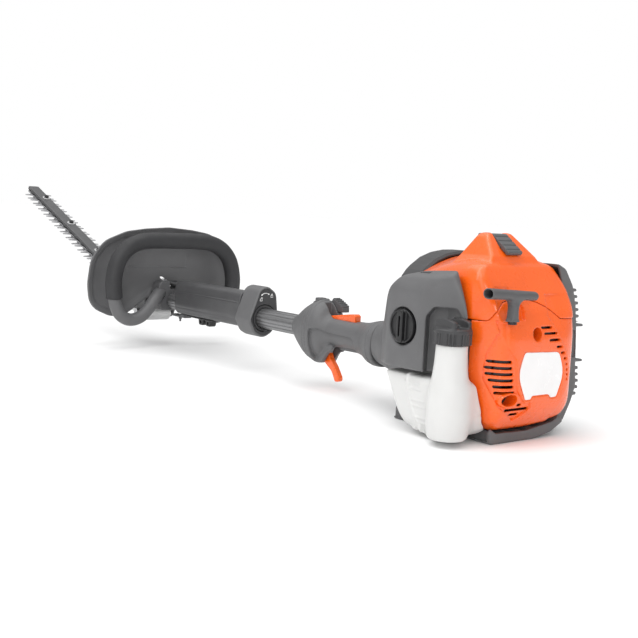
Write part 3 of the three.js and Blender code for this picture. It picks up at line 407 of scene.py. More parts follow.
def ringed(name, rings, closed=False):
    """Surface through rings of equally many points, closed on itself or capped at both ends."""
    count, sides = len(rings), len(rings[0])
    faces = []
    for i in range(count if closed else count - 1):
        for k in range(sides):
            a, b = i * sides, ((i + 1) % count) * sides
            faces.append([a + k, a + (k + 1) % sides, b + (k + 1) % sides, b + k])
    if not closed:
        faces.append(list(range(sides))[::-1])
        faces.append([(count - 1) * sides + k for k in range(sides)])
    obj = mesh_object(name, np.concatenate(rings), faces)
    obj.data.set_sharp_from_angle(angle=math.radians(38))
    return obj


def curve_through(points, steps):
    """Smooth curve through given points, one per step."""
    points = np.array(points, float)
    reach = np.concatenate([[0], np.cumsum(np.linalg.norm(np.diff(points, axis=0), axis=1) ** 0.5)])
    where = np.linspace(0, reach[-1], steps)
    slope = np.gradient(points, reach, axis=0)
    i = np.clip(np.searchsorted(reach, where) - 1, 0, len(points) - 2)
    width = (reach[1:] - reach[:-1])[i][:, None]
    t = ((where - reach[i]) / width[:, 0])[:, None]
    return (points[i] * (1 + 2 * t) * (1 - t) ** 2 + points[i + 1] * t * t * (3 - 2 * t)
            + slope[i] * width * t * (1 - t) ** 2 + slope[i + 1] * width * t * t * (t - 1))


def turned(name, profile, centre=(0, 0), axis="y", sides=72):
    """Turned piece from a closed [radius, height] profile about an axis through centre."""
    rings = []
    for k in range(sides):
        turn = 2 * math.pi * k / sides
        rings.append(np.array([axis_point(axis, centre, r * math.cos(turn), r * math.sin(turn), h)
                               for r, h in profile]))
    if axis == "y":
        rings = rings[::-1]
    return ringed(name, rings, closed=True)


def axis_point(axis, centre, u, v, h):
    u, v = centre[0] + u, centre[1] + v
    return {"x": (h, u, v), "y": (u, h, v), "z": (u, v, h)}[axis]


# ------------------------------------------------------------------ camera, light and floor
CAMERA_AT = (-990.2, -793.4, 184.8)
LOOKING = Vector((0.6193, 0.7780, -0.1056))
CAMERA_UP = Vector((0.0254, 0.1145, 0.9931))
LENS, SENSOR = 56.43, 36.0


def aimed(obj, position, target):
    obj.location = placed(position)
    obj.rotation_euler = (placed(target) - obj.location).to_track_quat("-Z", "Y").to_euler()


def make_camera():
    data = bpy.data.cameras.new("photo_view")
    data.lens, data.sensor_width = LENS, SENSOR
    data.clip_end = 50
    camera = bpy.data.objects.new("photo_view", data)
    back = -LOOKING.normalized()
    right = CAMERA_UP.cross(back).normalized()
    turn = Matrix((right, back.cross(right), back)).transposed()
    camera.matrix_world = Matrix.Translation(placed(CAMERA_AT)) @ turn.to_4x4()
    bpy.context.scene.collection.objects.link(camera)
    bpy.context.scene.camera = camera


def make_light(name, position, target, size, power):
    data = bpy.data.lights.new(name, "AREA")
    data.shape, data.size, data.size_y = "RECTANGLE", size[0], size[1]
    data.energy = power
    light = bpy.data.objects.new(name, data)
    aimed(light, position, target)
    bpy.context.scene.collection.objects.link(light)


def make_sun(name, travel, strength, spread):
    data = bpy.data.lights.new(name, "SUN")
    data.energy, data.angle = strength, math.radians(spread)
    sun = bpy.data.objects.new(name, data)
    sun.rotation_euler = Vector(travel).to_track_quat("-Z", "Y").to_euler()
    bpy.context.scene.collection.objects.link(sun)


SKY_LIGHT, SKY_SEEN = 0.50, 1.0
FLOOR_REACH = 40.0                # metres
SUNS = [                          # name, direction of travel, strength, spread in degrees
    ("key", (0.55, 0.80, -0.32), 0.55, 16),
    ("overhead", (0.1, -0.1, -1), 1.75, 90),
]
STRIPS = [                        # name, position, target, size in metres, power in watts
    ("left_strip", (-1500, -500, 1000), (0, 200, 0), (0.7, 1.8), 5),
    ("top_strip", (-700, 300, 1500), (0, 300, 50), (0.45, 2.6), 9),
]


def make_world():
    """A soft studio that lights the machine less than the white sweep behind it shows."""
    world = bpy.data.worlds.new("studio")
    world.use_nodes = True
    nodes, links = world.node_tree.nodes, world.node_tree.links
    seen = nodes["Background"]
    seen.inputs["Strength"].default_value = SKY_SEEN
    light = nodes.new("ShaderNodeBackground")
    light.inputs["Strength"].default_value = SKY_LIGHT
    for background in (seen, light):
        background.inputs["Color"].default_value = (1, 1, 1, 1)
    path, mix = nodes.new("ShaderNodeLightPath"), nodes.new("ShaderNodeMixShader")
    links.new(path.outputs["Is Camera Ray"], mix.inputs["Fac"])
    links.new(light.outputs["Background"], mix.inputs[1])
    links.new(seen.outputs["Background"], mix.inputs[2])
    links.new(mix.outputs["Shader"], nodes["World Output"].inputs["Surface"])
    bpy.context.scene.world = world


def make_stage():
    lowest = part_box("base_guard")[0].z
    corners = [(x * FLOOR_REACH, y * FLOOR_REACH) for x, y in ((-1, -1), (1, -1), (1, 1), (-1, 1))]
    mesh = bpy.data.meshes.new("floor")
    mesh.from_pydata([(x, y, lowest) for x, y in corners], [], [(0, 1, 2, 3)])
    floor = bpy.data.objects.new("floor", mesh)
    floor.data.materials.append(finish("floor_paper", (0.96, 0.96, 0.96), 0.9, 40, 0.02, 0.004))
    bpy.context.scene.collection.objects.link(floor)
    make_world()
    for sun in SUNS:
        make_sun(*sun)
    for strip in STRIPS:
        make_light(*strip)
    bpy.context.scene.view_settings.view_transform = "Standard"


# ------------------------------------------------------------------ engine covers
ENGINE_FRONT = 180
SPLIT = 0.4                       # half the gap between two covers
SHELL = 5.4                       # cover wall, deep enough for the recesses in its face
BODY_OUTLINE = [                  # seen from the rear, (X, Z)
    [-70, 140, 24], [62, 140, 26], [74, 108, 24], [80, 64, 24], [99, 6, 24], [93, -34, 18],
    [68, -70, 26], [10, -78, 30], [-50, -77, 14], [-66, -62, 10], [-76, -34, 16], [-86, 0, 16],
    [-86, 60, 20], [-84, 112, 16],
]
BODY_PROFILE = [                  # seen from the side, (Y, Z)
    [0, -40, 30], [0, 42, 30], [10, 76, 30], [44, 132, 16], [70, 142, 20], [ENGINE_FRONT, 142],
    [ENGINE_FRONT, -80], [34, -80, 10], [22, -70, 16],
]
BODY_PLAN = [                     # seen from above, (X, Y)
    [-60, 0, 30], [62, 0, 34], [98, 32, 8], [98, ENGINE_FRONT], [-88, ENGINE_FRONT], [-88, 46, 6],
]
SEAM = [                          # between the two orange covers, (X, Z)
    [-140, 63], [-75, 64, 4], [-70, 75, 4], [-56, 87, 10], [-26, 93, 30], [2, 87, 20], [24, 78, 16],
    [43, 66, 6], [140, 66],
]
SHIELD = [                        # sunk panel with the cooling slots
    [-67, 54, 2], [-75, 24, 10], [-76, -6, 24], [-64, -41, 10], [-30, -62, 5], [-8, -46, 6],
    [-12, -38, 3], [-22, -38, 4], [-39, -20, 12], [-43, 17, 3], [-54, 29, 4], [-60, 36, 4],
]
LABEL = [
    [-29, 27, 6], [37, 25, 9], [50, -3, 34], [37, -34, 5], [26, -34, 3], [21, -29.5, 3],
    [-10, -29.5, 3], [-13, -34, 3], [-23, -34, 4], [-40, -1, 34],
]
BOSS_EDGE = [                     # right of the raised disc that carries the label
    [24, 96], [16, 71, 4], [27, 58, 10], [42, 39, 20], [57, 20, 20], [65, -2, 20], [63, -20, 20],
    [50, -38, 14], [44, -72], [120, -72], [120, 96],
]
STEM_HOLLOW = [[-72, 108, 6], [-40, 108, 6], [-24, 80, 2], [-26, 64.5, 2], [-70, 64, 3]]
SLOT_ROWS = [                     # left end, right end and height of each cooling slot
    (-71, -50, 15.2), (-72, -48.5, 7.3), (-71.5, -46.5, -0.2), (-69, -45.5, -8), (-66, -44.5, -16),
    (-65, -42, -23.5), (-60, -55, -30.8), (-57, -55, -38.3), (-32, -27, -39.5), (-51, -12, -45.5),
    (-39, -25.5, -52.3),
]
RING_SLOTS = [
    (2, 22, 56), (8, 32, 48.5), (18, 37, 40), (33, 42, 31), (42.5, 47.5, 23), (49, 52, 15.5),
    (53.5, 54.5, 8), (55, 56, 1), (56, 57, -5.5), (56.5, 57, -11.5),
]
UPPER_WELL, LOWER_WELL = (-6, 48), (-49, -32.5)
UPPER_DEEP, LOWER_DEEP = 20, 22
WELL_R = 8.6
COVER_RIM_Y = 45.6                # front rim of the starter cover
SEAM_BELOW = [*SEAM, [140, -200], [-140, -200]]
SLOT_TALL = 3.3


def body_blank(g):
    side = outline(BODY_PROFILE, g.y, g.z)
    plan = outline(BODY_PLAN, g.x, g.y)
    slant = (g.z - 116 - 0.43 * (g.x + 63) - 0.29 * (150 - g.y)) / 1.13
    return both(both(both(outline(BODY_OUTLINE, g.x, g.z), side, 9), plan, 12), slant, 16)


def slots(g, rows, tall):
    found = np.full(np.broadcast(g.x, g.z).shape, FAR)
    for left, right, z in rows:
        reach = np.maximum(np.abs(g.x - (left + right) / 2) - (right - left) / 2, 0)
        found = np.minimum(found, np.hypot(reach, g.z - z) - tall / 2)
    return found


def sunk(shape, region, surface, depth, soft=1.2):
    """Sinks a region of the surface to a floor that follows it."""
    return without(shape, both(region, -(surface + depth), soft), soft)


def hollowed_stem(g, shape):
    """Sinks the hollow behind the starter grip's stem, with a wall behind it."""
    deep = g.y - 12 - 0.42 * (g.z - 64)
    hollow = both(outline(STEM_HOLLOW, g.x, g.z) + 0.12 * g.y, deep, 1)
    wall = both(outline(STEM_HOLLOW, g.x, g.z) - 2 + 0.12 * g.y, both(deep - 3, body_blank(g)))
    return without(either(shape, wall), hollow, 1)


def liner():
    """Dark inner wall seen through the cooling slots."""
    g = Grid((-88, 4, -78), (92, 45, 90), 2.0)
    blank = body_blank(g)
    shape = both(both(blank + SHELL + 1.2, -(blank + SHELL + 3.6)), g.y - 44)
    shape = without(shape, prism(disc(g.x, g.z, UPPER_WELL, WELL_R + 3), g.y, -9, 40))
    shape = without(shape, prism(disc(g.x, g.z, LOWER_WELL, WELL_R + 9), g.y, -9, 40))
    shape = without(shape, both(outline(STEM_HOLLOW, g.x, g.z) - 3, g.y - 34))
    shape = without(shape, prism(disc(g.x, g.z, (0, 0), 7), g.y, -9, 40))
    below = outline(SEAM_BELOW, g.x, g.z) + SPLIT
    dress(moulded("slot_liner", both(shape, below), g), "black_plastic", "root")


def well_screws():
    """Socket screws at the bottom of the two wells."""
    for (x, z), deep in ((UPPER_WELL, UPPER_DEEP), (LOWER_WELL, LOWER_DEEP)):
        screw("cover_screw_head", (x, deep, z), (0, -1, 0), 5.2, 4.6)
        floor = [[0.01, deep - 0.4], [WELL_R + 6, deep - 0.4], [WELL_R + 6, deep + 1.2], [0.01, deep + 1.2]]
        dress(turned("well_floor", floor, (x, z), sides=36), "black_plastic", "root")


def starter_cover():
    g = Grid((-92, -3, -84), (102, 48, 98), 1.1)
    blank = body_blank(g)
    inner = blank + SHELL
    shape = sunk(blank, outline(SHIELD, g.x, g.z), blank, 2.6)
    fade = np.clip((92 - g.x) / 30, 0.05, 1)
    shape = sunk(shape, outline(BOSS_EDGE, g.x, g.z), blank, 2.2 * fade, 1.6)
    groove = outline([[-70, 66], [-58, 66], [-58, 30, 3], [-64, 38]], g.x, g.z)
    shape = sunk(shape, groove, blank, 2.2)
    label_seat = outline(LABEL, g.x, g.z)
    shape = sunk(shape, label_seat - 0.9, blank, 0.9, 0.3)
    shape = hollowed_stem(g, without(shape, inner))
    shape = without(shape, prism(slots(g, SLOT_ROWS, SLOT_TALL), g.y, -9, 60), 0.7)
    shape = without(shape, prism(slots(g, RING_SLOTS, SLOT_TALL - 0.3), g.y, -9, 40), 0.7)
    upper = disc(g.x, g.z, UPPER_WELL, WELL_R)
    u, v = g.x - LOWER_WELL[0], g.z - LOWER_WELL[1]
    lower = np.hypot((u + 0.2 * v) / 1.75, v - 0.12 * u) - 7
    for well, deep in ((upper, UPPER_DEEP), (lower, LOWER_DEEP)):
        sleeve = prism(well - 2.2, g.y, 1, deep + 2)
        shape = either(shape, both(sleeve, blank, 0.5))
        shape = without(shape, prism(well, g.y, -9, deep), 1.0)
    post = prism(disc(g.x, g.z, (0, 0), 5), g.y, SHELL - 1, 33)
    shape = either(shape, post, 1)
    below = outline(SEAM_BELOW, g.x, g.z) + SPLIT
    shape = both(both(shape, below, 0.5), g.y - COVER_RIM_Y)
    dress(moulded("starter_cover_shell", shape, g), "orange_plastic", "root", "starter_cover")


def label_plate():
    g = Grid((-43, -4, -37), (53, 8, 30), 0.8)
    blank = body_blank(g)
    sheet = both(outline(LABEL, g.x, g.z) + 0.5, np.abs(blank + 0.3) - 0.7, 0.4)
    dress(moulded("rear_label", sheet, g), "blank_label", "root", "rear_label_plate")


HUMP = [                          # seen from the rear, (X, Z)
    [-57, 128], [-48, 142, 8], [-36, 166, 8], [-32, 171, 5], [-24, 172, 2], [-22, 168, 2], [4, 168, 2],
    [7, 172, 3], [13, 171, 7], [22, 160, 12], [37, 141, 10], [48, 128],
]
HUMP_SIDE = [[46, 128], [51, 142, 3], [76, 172, 6], [88, 172, 10], [106, 142, 12], [114, 128]]
INSERT_LEFT, INSERT_RIGHT = -24, 4
INSERT_SIDE = [[46, 147, 2], [49, 143, 2], [76, 164, 3], [100, 164, 3], [100, 169.5, 3], [75, 170, 5],
               [47, 149, 2]]


def hump(g):
    return both(outline(HUMP, g.x, g.z), outline(HUMP_SIDE, g.y, g.z), 4)


def upper_cover():
    g = Grid((-92, 6, 58), (96, 164, 178), 1.2)
    blank = body_blank(g)
    crown = hump(g)
    bevel = 0.6 * (0.42 * (g.z - 170) - g.x - 41) + 0.55 * (76 + 0.87 * (g.z - 170) - g.y) - 1
    crown = both(crown, bevel, 1.2)
    shape = either(blank, crown, 2.5)
    shape = without(shape, either(blank + SHELL, crown + SHELL, 2))
    seat = prism(outline([[43, 143], [49, 142], [76, 163.4], [101, 163.4], [101, 190], [43, 190]], g.y, g.z),
                 g.x, INSERT_LEFT - SPLIT, INSERT_RIGHT + 1.4)
    shape = without(shape, seat, 0.5)
    shape = hollowed_stem(g, shape)
    shape = sunk(shape, outline(BOSS_EDGE, g.x, g.z), blank, 2.2 * np.clip((66 - g.x) / 30, 0.05, 1), 1.6)
    shape = without(shape, block(g, (64, 78, 46), (110, 175, 108), 3))
    shape = without(shape, block(g, (-110, 84, 46), (-70, 150, 102), 3))
    above = SPLIT - outline(SEAM_BELOW, g.x, g.z)
    shape = both(both(shape, above, 0.5), g.y - 160)
    dress(moulded("upper_cover_shell", shape, g), "orange_plastic", "root", "upper_cover")


def latch_insert():
    g = Grid((-28, 42, 138), (8, 104, 174), 0.65)
    flat = outline(INSERT_SIDE, g.y, g.z)
    along = (g.y - 46) * 0.8 + (g.z - 149) * 0.6
    ribs = np.clip(1.4 - np.abs((along % 8.6) - 4.3) / 0.8, 0, 1)
    flat = flat + ribs * (along < 34)
    shape = prism(flat, g.x, INSERT_LEFT + SPLIT, INSERT_RIGHT - SPLIT, 0.8)
    dress(moulded("latch_insert", shape, g), "grey_plastic", "root", "cover_latch_insert")


# ------------------------------------------------------------------ starter
ROPE_X, ROPE_Y = -60.5, 0.3
ROPE_FROM, ROPE_TO = 64, 69       # the stretch of rope that shows at rest, in Z


def starter_handle():
    g = Grid((-112, -14, 60), (-14, 14, 112), 0.75)
    middle = 100.5 - 0.045 * (g.x + 107)
    tall = 6.6 - 0.012 * (g.x + 107)
    size = ((np.abs(g.y) / 8.6) ** 2.3 + (np.abs(g.z - middle) / tall) ** 2.3) ** (1 / 2.3)
    across = both((size - 1) * 6, -107 - g.x, 1.2)
    end = np.sqrt(np.maximum(g.x + 27, 0) ** 2 + (g.y * 0.75) ** 2 + (g.z - 96.6) ** 2) - 6.2
    across = np.where(g.x > -27, np.maximum(across, end), across)
    half = ease(g.z.ravel(), np.array([60, 66, 70, 82, 94]), np.array([10.5, 9.6, 6.4, 5.2, 9.5]))
    lean = ROPE_X + 0.10 * np.maximum(g.z - 84, 0)
    half = half[None, None, :]
    stem = ((np.abs(g.x - lean) / half) ** 2.6 + (np.abs(g.y - ROPE_Y) / 7) ** 2.6) ** (1 / 2.6)
    stem = both((stem - 1) * 5.5, slab(g.z, 66, 98), 1)
    shape = either(across, stem, 5)
    mouth = ((np.abs(g.y) / 7) ** 2.3 + (np.abs(g.z - middle) / 5) ** 2.3) ** (1 / 2.3)
    shape = without(shape, both((mouth - 1) * 5, g.x + 86, 1), 0.7)
    dress(moulded("starter_grip", shape, g, 0.5), "grey_plastic", "starter_handle", "starter_handle")


def starter_rope():
    """Rope from its eyelet to the grip."""
    profile = [[2.6, 62.6], [5.4, 62.6], [5.4, 65.4], [2.6, 65.4]]
    dress(turned("rope_eyelet", profile, (ROPE_X, ROPE_Y), "z", 32), "dark_steel", "root")
    path = [(ROPE_X, ROPE_Y, z) for z in np.linspace(ROPE_FROM, ROPE_TO, 12)]
    rope = swept("starter_rope_stretch", path, 1.9, sides=14)
    rope.data.materials.append(LOOKS["rope_fibre"])
    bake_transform(rope)


# ------------------------------------------------------------------ fuel tank
CAP_X, CAP_Y = -110, 50
TANK_SIDE = [                     # (Y, Z)
    [30, -13, 8], [170, -13, 8], [164, -24, 10], [154, -43, 14], [143, -63, 16], [130, -79, 14],
    [104, -86, 16], [66, -88, 18], [38, -78, 16], [28, -48, 16],
]
TANK_FRONT = [[-115, -10], [-56, -10, 6], [-52, -56, 6], [30, -57, 4], [30, -79, 4], [-54, -79, 6],
              [-60, -90, 6], [-104, -90, 14], [-115, -70, 12]]
TANK_SEAM = np.array([[-90, 88], [-79, 96], [-69, 103], [-42, 118], [-13, 123], [10, 123]])   # (Z, Y)
NECK = np.array([[-88, 24], [-60, 26.5], [-30, 26], [-8, 22.5], [12, 20.4], [33.7, 19.6]])


def fuel_tank():
    g = Grid((-144, 16, -92), (34, 182, 38), 1.2)
    side = outline(TANK_SIDE, g.y, g.z)
    shape = both(both(side, outline(TANK_FRONT, g.x, g.z), 9), slab(g.x, -114, 32), 12)
    steps = np.full(shape.shape, FAR)
    for z in (-24, -31, -45, -52, -66, -72):
        pad = both(slab(g.z, z - 1.2, z + 1.2), slab(g.y - 0.5 * (g.z + 10), 108, 136), 2)
        steps = np.minimum(steps, both(both(shape - 1.1, pad, 1), g.x + 84))
    bend = g.y - ease(g.z.ravel(), TANK_SEAM[:, 0], TANK_SEAM[:, 1])[None, None, :]
    shape = either(shape, both(shape - 2.0, np.abs(bend) - 2.4, 1.5), 2)
    shape = either(shape, steps, 1.5)
    teeth = both(slab((g.y % 13) - 6.5, -3.4, 3.4), slab(g.z + 0.3 * g.y, -64, -46), 2)
    shape = either(shape, both(shape - 1.4, both(teeth, slab(g.x, -112, -60), 1), 1), 1.5)
    radius = ease(g.z.ravel(), NECK[:, 0], NECK[:, 1])[None, None, :]
    neck = both(np.hypot(g.x - CAP_X, g.y - CAP_Y) - radius, slab(g.z, -86, 33.7), 0.6)
    shape = either(shape, both(neck, -84 - g.z, 6), 12)
    keep_clear = both(outline(BODY_OUTLINE, g.x, g.z) - 2.2, slab(g.y, -10, 48), 1)
    shape = without(shape, keep_clear, 1.5)
    dress(moulded("fuel_tank_shell", shape, g), "tank_plastic", "root", "fuel_tank")


def fuel_cap():
    g = Grid((-137, 23, 31), (-83, 77, 67), 0.65)
    u, v = g.x - CAP_X, g.y - CAP_Y
    radius, turn = np.hypot(u, v), np.arctan2(v, u)
    wide = np.cos(turn * 8 + 0.4)
    ribs = 0.75 * np.clip(np.cos(turn * 32) * 3, -1, 1) * (wide > -0.35)
    skirt = both(radius - 22.9 - ribs * (g.z < 50) + np.clip(g.z - 49, 0, 9) * 0.12, slab(g.z, 34, 54), 1.4)
    skirt = without(skirt, both(radius - 21.1, g.z - 49))
    rim = both(radius - 23.6, slab(g.z, 48.5, 52.5), 0.8)
    shape = either(skirt, rim, 0.6)
    for side in (-1, 1):
        fin = both(slab(u, side * 13 - 3.6, side * 13 + 3.6), slab(v, -17, 17), 1.5)
        fin = both(both(fin, slab(g.z, 48, 65.5 - 0.012 * v ** 2), 2), radius - 22.2, 1.5)
        shape = either(shape, fin, 2.5)
    saddle = both(slab(u, -12, 12), both(slab(v, -2.2, 2.2), slab(g.z, 50, 56.5), 1), 1)
    shape = either(shape, saddle, 2)
    dress(moulded("fuel_cap_body", shape, g, 0.5), "dark_plastic", "fuel_cap", "fuel_cap")


# ------------------------------------------------------------------ air filter
KNOB_Y, KNOB_Z = 131, 47
FILTER_WALL = 3.4
FILTER_PLAN = [                   # (X, Y)
    [-87, 38, 1], [-118, 101, 4], [-120, 120, 14], [-118, 160, 18], [-104, 184, 12], [-88, 190, 4],
]
FILTER_SIDE = [                   # (Y, Z)
    [36, -8], [191, -10, 6], [191, 22, 16], [172, 84, 34], [148, 111, 26], [120, 118.5, 30], [67, 125, 6],
    [41, 66, 20],
]
FILTER_REAR = [                   # (X, Z)
    [-88, -10], [-120, -8, 6], [-120.5, 92, 18], [-110, 112, 16], [-88, 125],
]
FACE_RUN = (-0.4415, 0.8972)      # along the slanted rear face, in plan


def filter_blank(g):
    side = outline(FILTER_SIDE, g.y, g.z)
    return both(both(outline(FILTER_PLAN, g.x, g.y), side, 6), outline(FILTER_REAR, g.x, g.z), 5)


def filter_cover():
    g = Grid((-124, 34, -13), (-86.6, 194, 128), 1.0)
    blank = filter_blank(g)
    shape = without(blank, blank + FILTER_WALL)
    radius = np.hypot(g.y - KNOB_Y, g.z - KNOB_Z)
    well = both(radius - 24.2, g.x + 111, 1)
    cup = both(both(radius - 27.5, slab(g.x, -122, -107.5), 0.5), blank)
    shape = without(either(shape, cup, 0.5), well, 2.4)
    run = (g.x + 87) * FACE_RUN[0] + (g.y - 38) * FACE_RUN[1]
    deep = (g.x + 87) * FACE_RUN[1] - (g.y - 38) * FACE_RUN[0]
    arch = outline([[16, -40], [62, -40], [62, 64, 12], [52, 76, 8], [22, 76, 8], [16, 66, 6]], run, g.z)
    pocket = both(both(arch, deep - 15, 1), g.x + 90.5)
    lining = both(both(arch - 3, deep - 19, 1), both(blank, g.x + 88.5))
    shape = without(either(shape, lining), pocket, 1.4)
    clear = both(np.hypot(g.x - CAP_X, g.y - CAP_Y) - 27.5, g.z - 64, 2)
    shape = without(shape, clear, 0.8)
    notch = block(g, (-102, 104, 112), (-97, 122, 140), 1)
    shape = without(shape, notch, 0.6)
    dress(moulded("filter_cover_shell", shape, g), "mid_grey_plastic", "root", "air_filter_cover")


def filter_knob():
    g = Grid((-127, KNOB_Y - 26, 21), (-111, KNOB_Y + 26, 73), 0.6)
    u, v = g.y - KNOB_Y, g.z - KNOB_Z
    radius = np.hypot(u, v)
    shape = both(radius - 22.4, slab(g.x, -118.2, -113.6), 1.2)
    shape = either(shape, both(np.abs(radius - 20.6) - 1.3, slab(g.x, -120.4, -115), 0.8), 0.6)
    wing = prism(both(slab(u, -5.4, 5.4), radius - 21, 3), g.x, -124.6, -115, 1.8)
    shape = either(shape, wing, 2)
    slot = prism(both(slab(u, -1.3, 1.3), slab(v, -13, 13), 1), g.x, -130, -121.5)
    shape = without(shape, slot, 0.6)
    dress(moulded("filter_knob", shape, g, 0.5), "black_plastic", "filter_knob", "filter_cover_knob")


# ------------------------------------------------------------------ guards
GUARD_REAR = [                    # (X, Z)
    [58, 138, 8], [82, 128, 12], [99, 106, 18], [108, 80, 24], [113, 52, 24], [116, 20, 24],
    [118, -8, 24], [121, -30, 16], [113, -52, 14], [99, -76, 6], [84, -80], [58, -30], [58, 100],
]
GUARD_FINS = (52, 4)


def muffler_guard():
    g = Grid((58, 33, -80), (137, 190, 136), 1.25)
    face = outline(GUARD_REAR, g.x, g.z)
    shape = prism(face, g.y, 36, 188, 3)
    shape = without(shape, both(face + 3.6, slab(g.y, 39.5, 184)))
    bands = np.minimum(slab(g.z, 57, 103), slab(g.z, -47, -2))
    gaps = 1.7 - np.abs(((g.z - 3) % 8.8) - 4.4)
    openings = both(both(bands, -gaps, 0.5), both(slab(g.y, 42, 172), -face - 4.4, 1), 1)
    teeth = both(both(face - 5.5, slab(g.y, 36.5, 176), 1.5), both(bands, gaps + 0.6, 0.8), 0.8)
    shape = without(either(shape, teeth, 0.8), openings, 0.8)
    panel = both(outline([[92, 47, 3], [122, 47, 3], [122, 9, 3], [99, 9, 3]], g.x, g.z) + 1, g.y - 38.6)
    shape = without(shape, both(panel, face + 2.4), 0.6)
    for z in GUARD_FINS:
        fin = both(both(face - 15, slab(g.z, z - 1.8, z + 1.8), 1), both(slab(g.y, 37, 172), 92 - g.x), 2)
        shape = either(shape, fin, 1)
    shape = without(shape, outline(BODY_OUTLINE, g.x, g.z) - 1.4)
    dress(moulded("muffler_guard_shell", shape, g), "mid_grey_plastic", "root", "muffler_guard")


def base_guard():
    g = Grid((-60, 22, -94), (92, 206, -62), 1.2)
    face = outline([[-60, -78, 2], [-58, -92, 6], [26, -92, 30], [60, -86, 20], [84, -74, 3], [78, -66, 2],
                    [50, -62], [-50, -62]], g.x, g.z)
    shape = prism(face, g.y, 24, 204, 3)
    waves = both(slab((g.x % 24) - 12, -7, 7), -89 - g.z, 1)
    shape = without(shape, both(waves, 30 - g.y), 1.2)
    shape = without(shape, outline(BODY_OUTLINE, g.x, g.z) - 1.0)
    dress(moulded("base_guard_skirt", shape, g), "mid_grey_plastic", "root", "base_guard")


# ------------------------------------------------------------------ clutch housing and shroud
HOUSING = [                       # radius, Y
    [50, 152], [52.5, 156], [53, 168], [50, 196], [44.5, 236], [38, 266], [34, 280], [34, 284.4],
    [33, 285.6], [24, 285.6], [24, 262], [38, 236], [44, 196], [47, 168], [46, 152],
]


def clutch_housing():
    profile = [[r, y] for r, y in rounded([[r, y, 5] for r, y in HOUSING])]
    obj = turned("clutch_housing_shell", profile, sides=96)
    dress(obj, "mid_grey_plastic", "root", "clutch_housing")
    for k in range(4):
        turn = math.radians(45 + 90 * k)
        screw("housing_screw", (40 * math.cos(turn), 232, 40 * math.sin(turn)), (0, 1, 0), 3.4, 3)


def screw(name, at, axis, radius, tall, body="root", slot="dark_steel"):
    """Socket head screw standing along an axis."""
    profile = [[0.01, 0], [radius, 0], [radius, tall - 0.6], [radius - 0.6, tall], [radius * 0.52, tall],
               [radius * 0.48, tall - 1.8], [0.01, tall - 1.8]]
    sides = 36
    rings = []
    normal = Vector(axis).normalized()
    turn = normal.to_track_quat("Z", "Y").to_matrix()
    for r, h in profile:
        ring = []
        for k in range(sides):
            angle = 2 * math.pi * k / sides
            ring.append(turn @ Vector((r * math.cos(angle), r * math.sin(angle), h)) + Vector(at))
        rings.append(np.array(ring))
    return dress(ringed(name, rings), slot, body)


# ------------------------------------------------------------------ throttle handle
HANDLE = [                        # Y, half width, top, bottom
    [287, 33.5, 31, -37], [297, 34, 31, -37.5], [306, 32.5, 29.5, -36], [318, 27.5, 26.5, -31],
    [332, 23, 24, -26.5], [346, 21.3, 23.2, -25], [404, 21.5, 23.5, -26], [413, 25, 29, -33],
    [421, 31, 39.5, -44], [429, 34.4, 45.5, -49.5], [440.7, 35, 47, -51],
]
NOSE = [
    [441.3, 35, 47, -51], [450, 34.4, 45, -49.5], [460, 32.6, 40.5, -45], [472, 29, 33.5, -37],
    [484, 24.5, 25, -28], [492, 21, 20.5, -22], [497, 19.4, 19.4, -19.4],
]


def throttle_handle():
    g = Grid((-38, 285, -54), (38, 443, 50), 1.05)
    blank = barrel(g, HANDLE, 2.25)
    shape = blank
    panel = outline([[338, -60, 8], [338, -1, 9], [372, 0.5], [404, 1, 3], [418, 5, 6], [433.5, 4, 4],
                     [433.5, -60, 4]], g.y, g.z)
    for side in (-1, 1):
        shape = sunk(shape, both(panel, 3 - side * g.x), blank, 4.2, 0.8)
    rim = both(blank - 1.2, slab(g.y, 433.5, 441), 1.2)
    shape = either(shape, rim, 0.8)
    cheeks = prism(outline([[394, -18, 4], [439, -18, 2], [439, -50, 8], [422, -50, 10], [404, -40, 14]],
                           g.y, g.z), g.x, -15.5, 15.5, 3)
    shape = either(shape, both(cheeks, blank - 6), 1.5)
    mouth = prism(outline([[392, -22, 4], [434, -22, 4], [434, -80], [386, -80]], g.y, g.z), g.x, -9, 9, 2)
    shape = without(shape, mouth, 1.4)
    shape = without(shape, prism(slab(g.x, -7, 7), g.y, 351, 429) + np.maximum(12 - g.z, 0), 0.8)
    shape = without(shape, block(g, (9, 398, 30), (25, 434, 60), 1), 0.5)
    shape = without(shape, both(np.hypot(g.x, g.z) - 13, slab(g.y, 270, 450)))
    shape = without(shape, both(np.abs(blank) - 0.9, slab(g.y, 296, 297)), 0.2)
    dress(moulded("handle_shell", shape, g), "mid_grey_plastic", "root", "throttle_handle")


def handle_nose():
    g = Grid((-37, 440, -53), (37, 499, 49), 1.0)
    blank = barrel(g, NOSE, 2.25)
    groove = both(np.abs(blank) - 0.8, slab(g.y, 449, 450.2))
    shape = without(blank, both(groove, -44 - g.z), 0.2)
    shape = without(shape, groove, 0.3)          # a second cut, which widens the first one's soft edges
    shape = without(shape, both(np.hypot(g.x, g.z) - 17.8, slab(g.y, 466, 520)), 1)
    shape = without(shape, both(np.hypot(g.x, g.z) - 13, slab(g.y, 430, 520)))
    dress(moulded("handle_nose_shell", shape, g), "mid_grey_plastic", "root", "handle_nose")


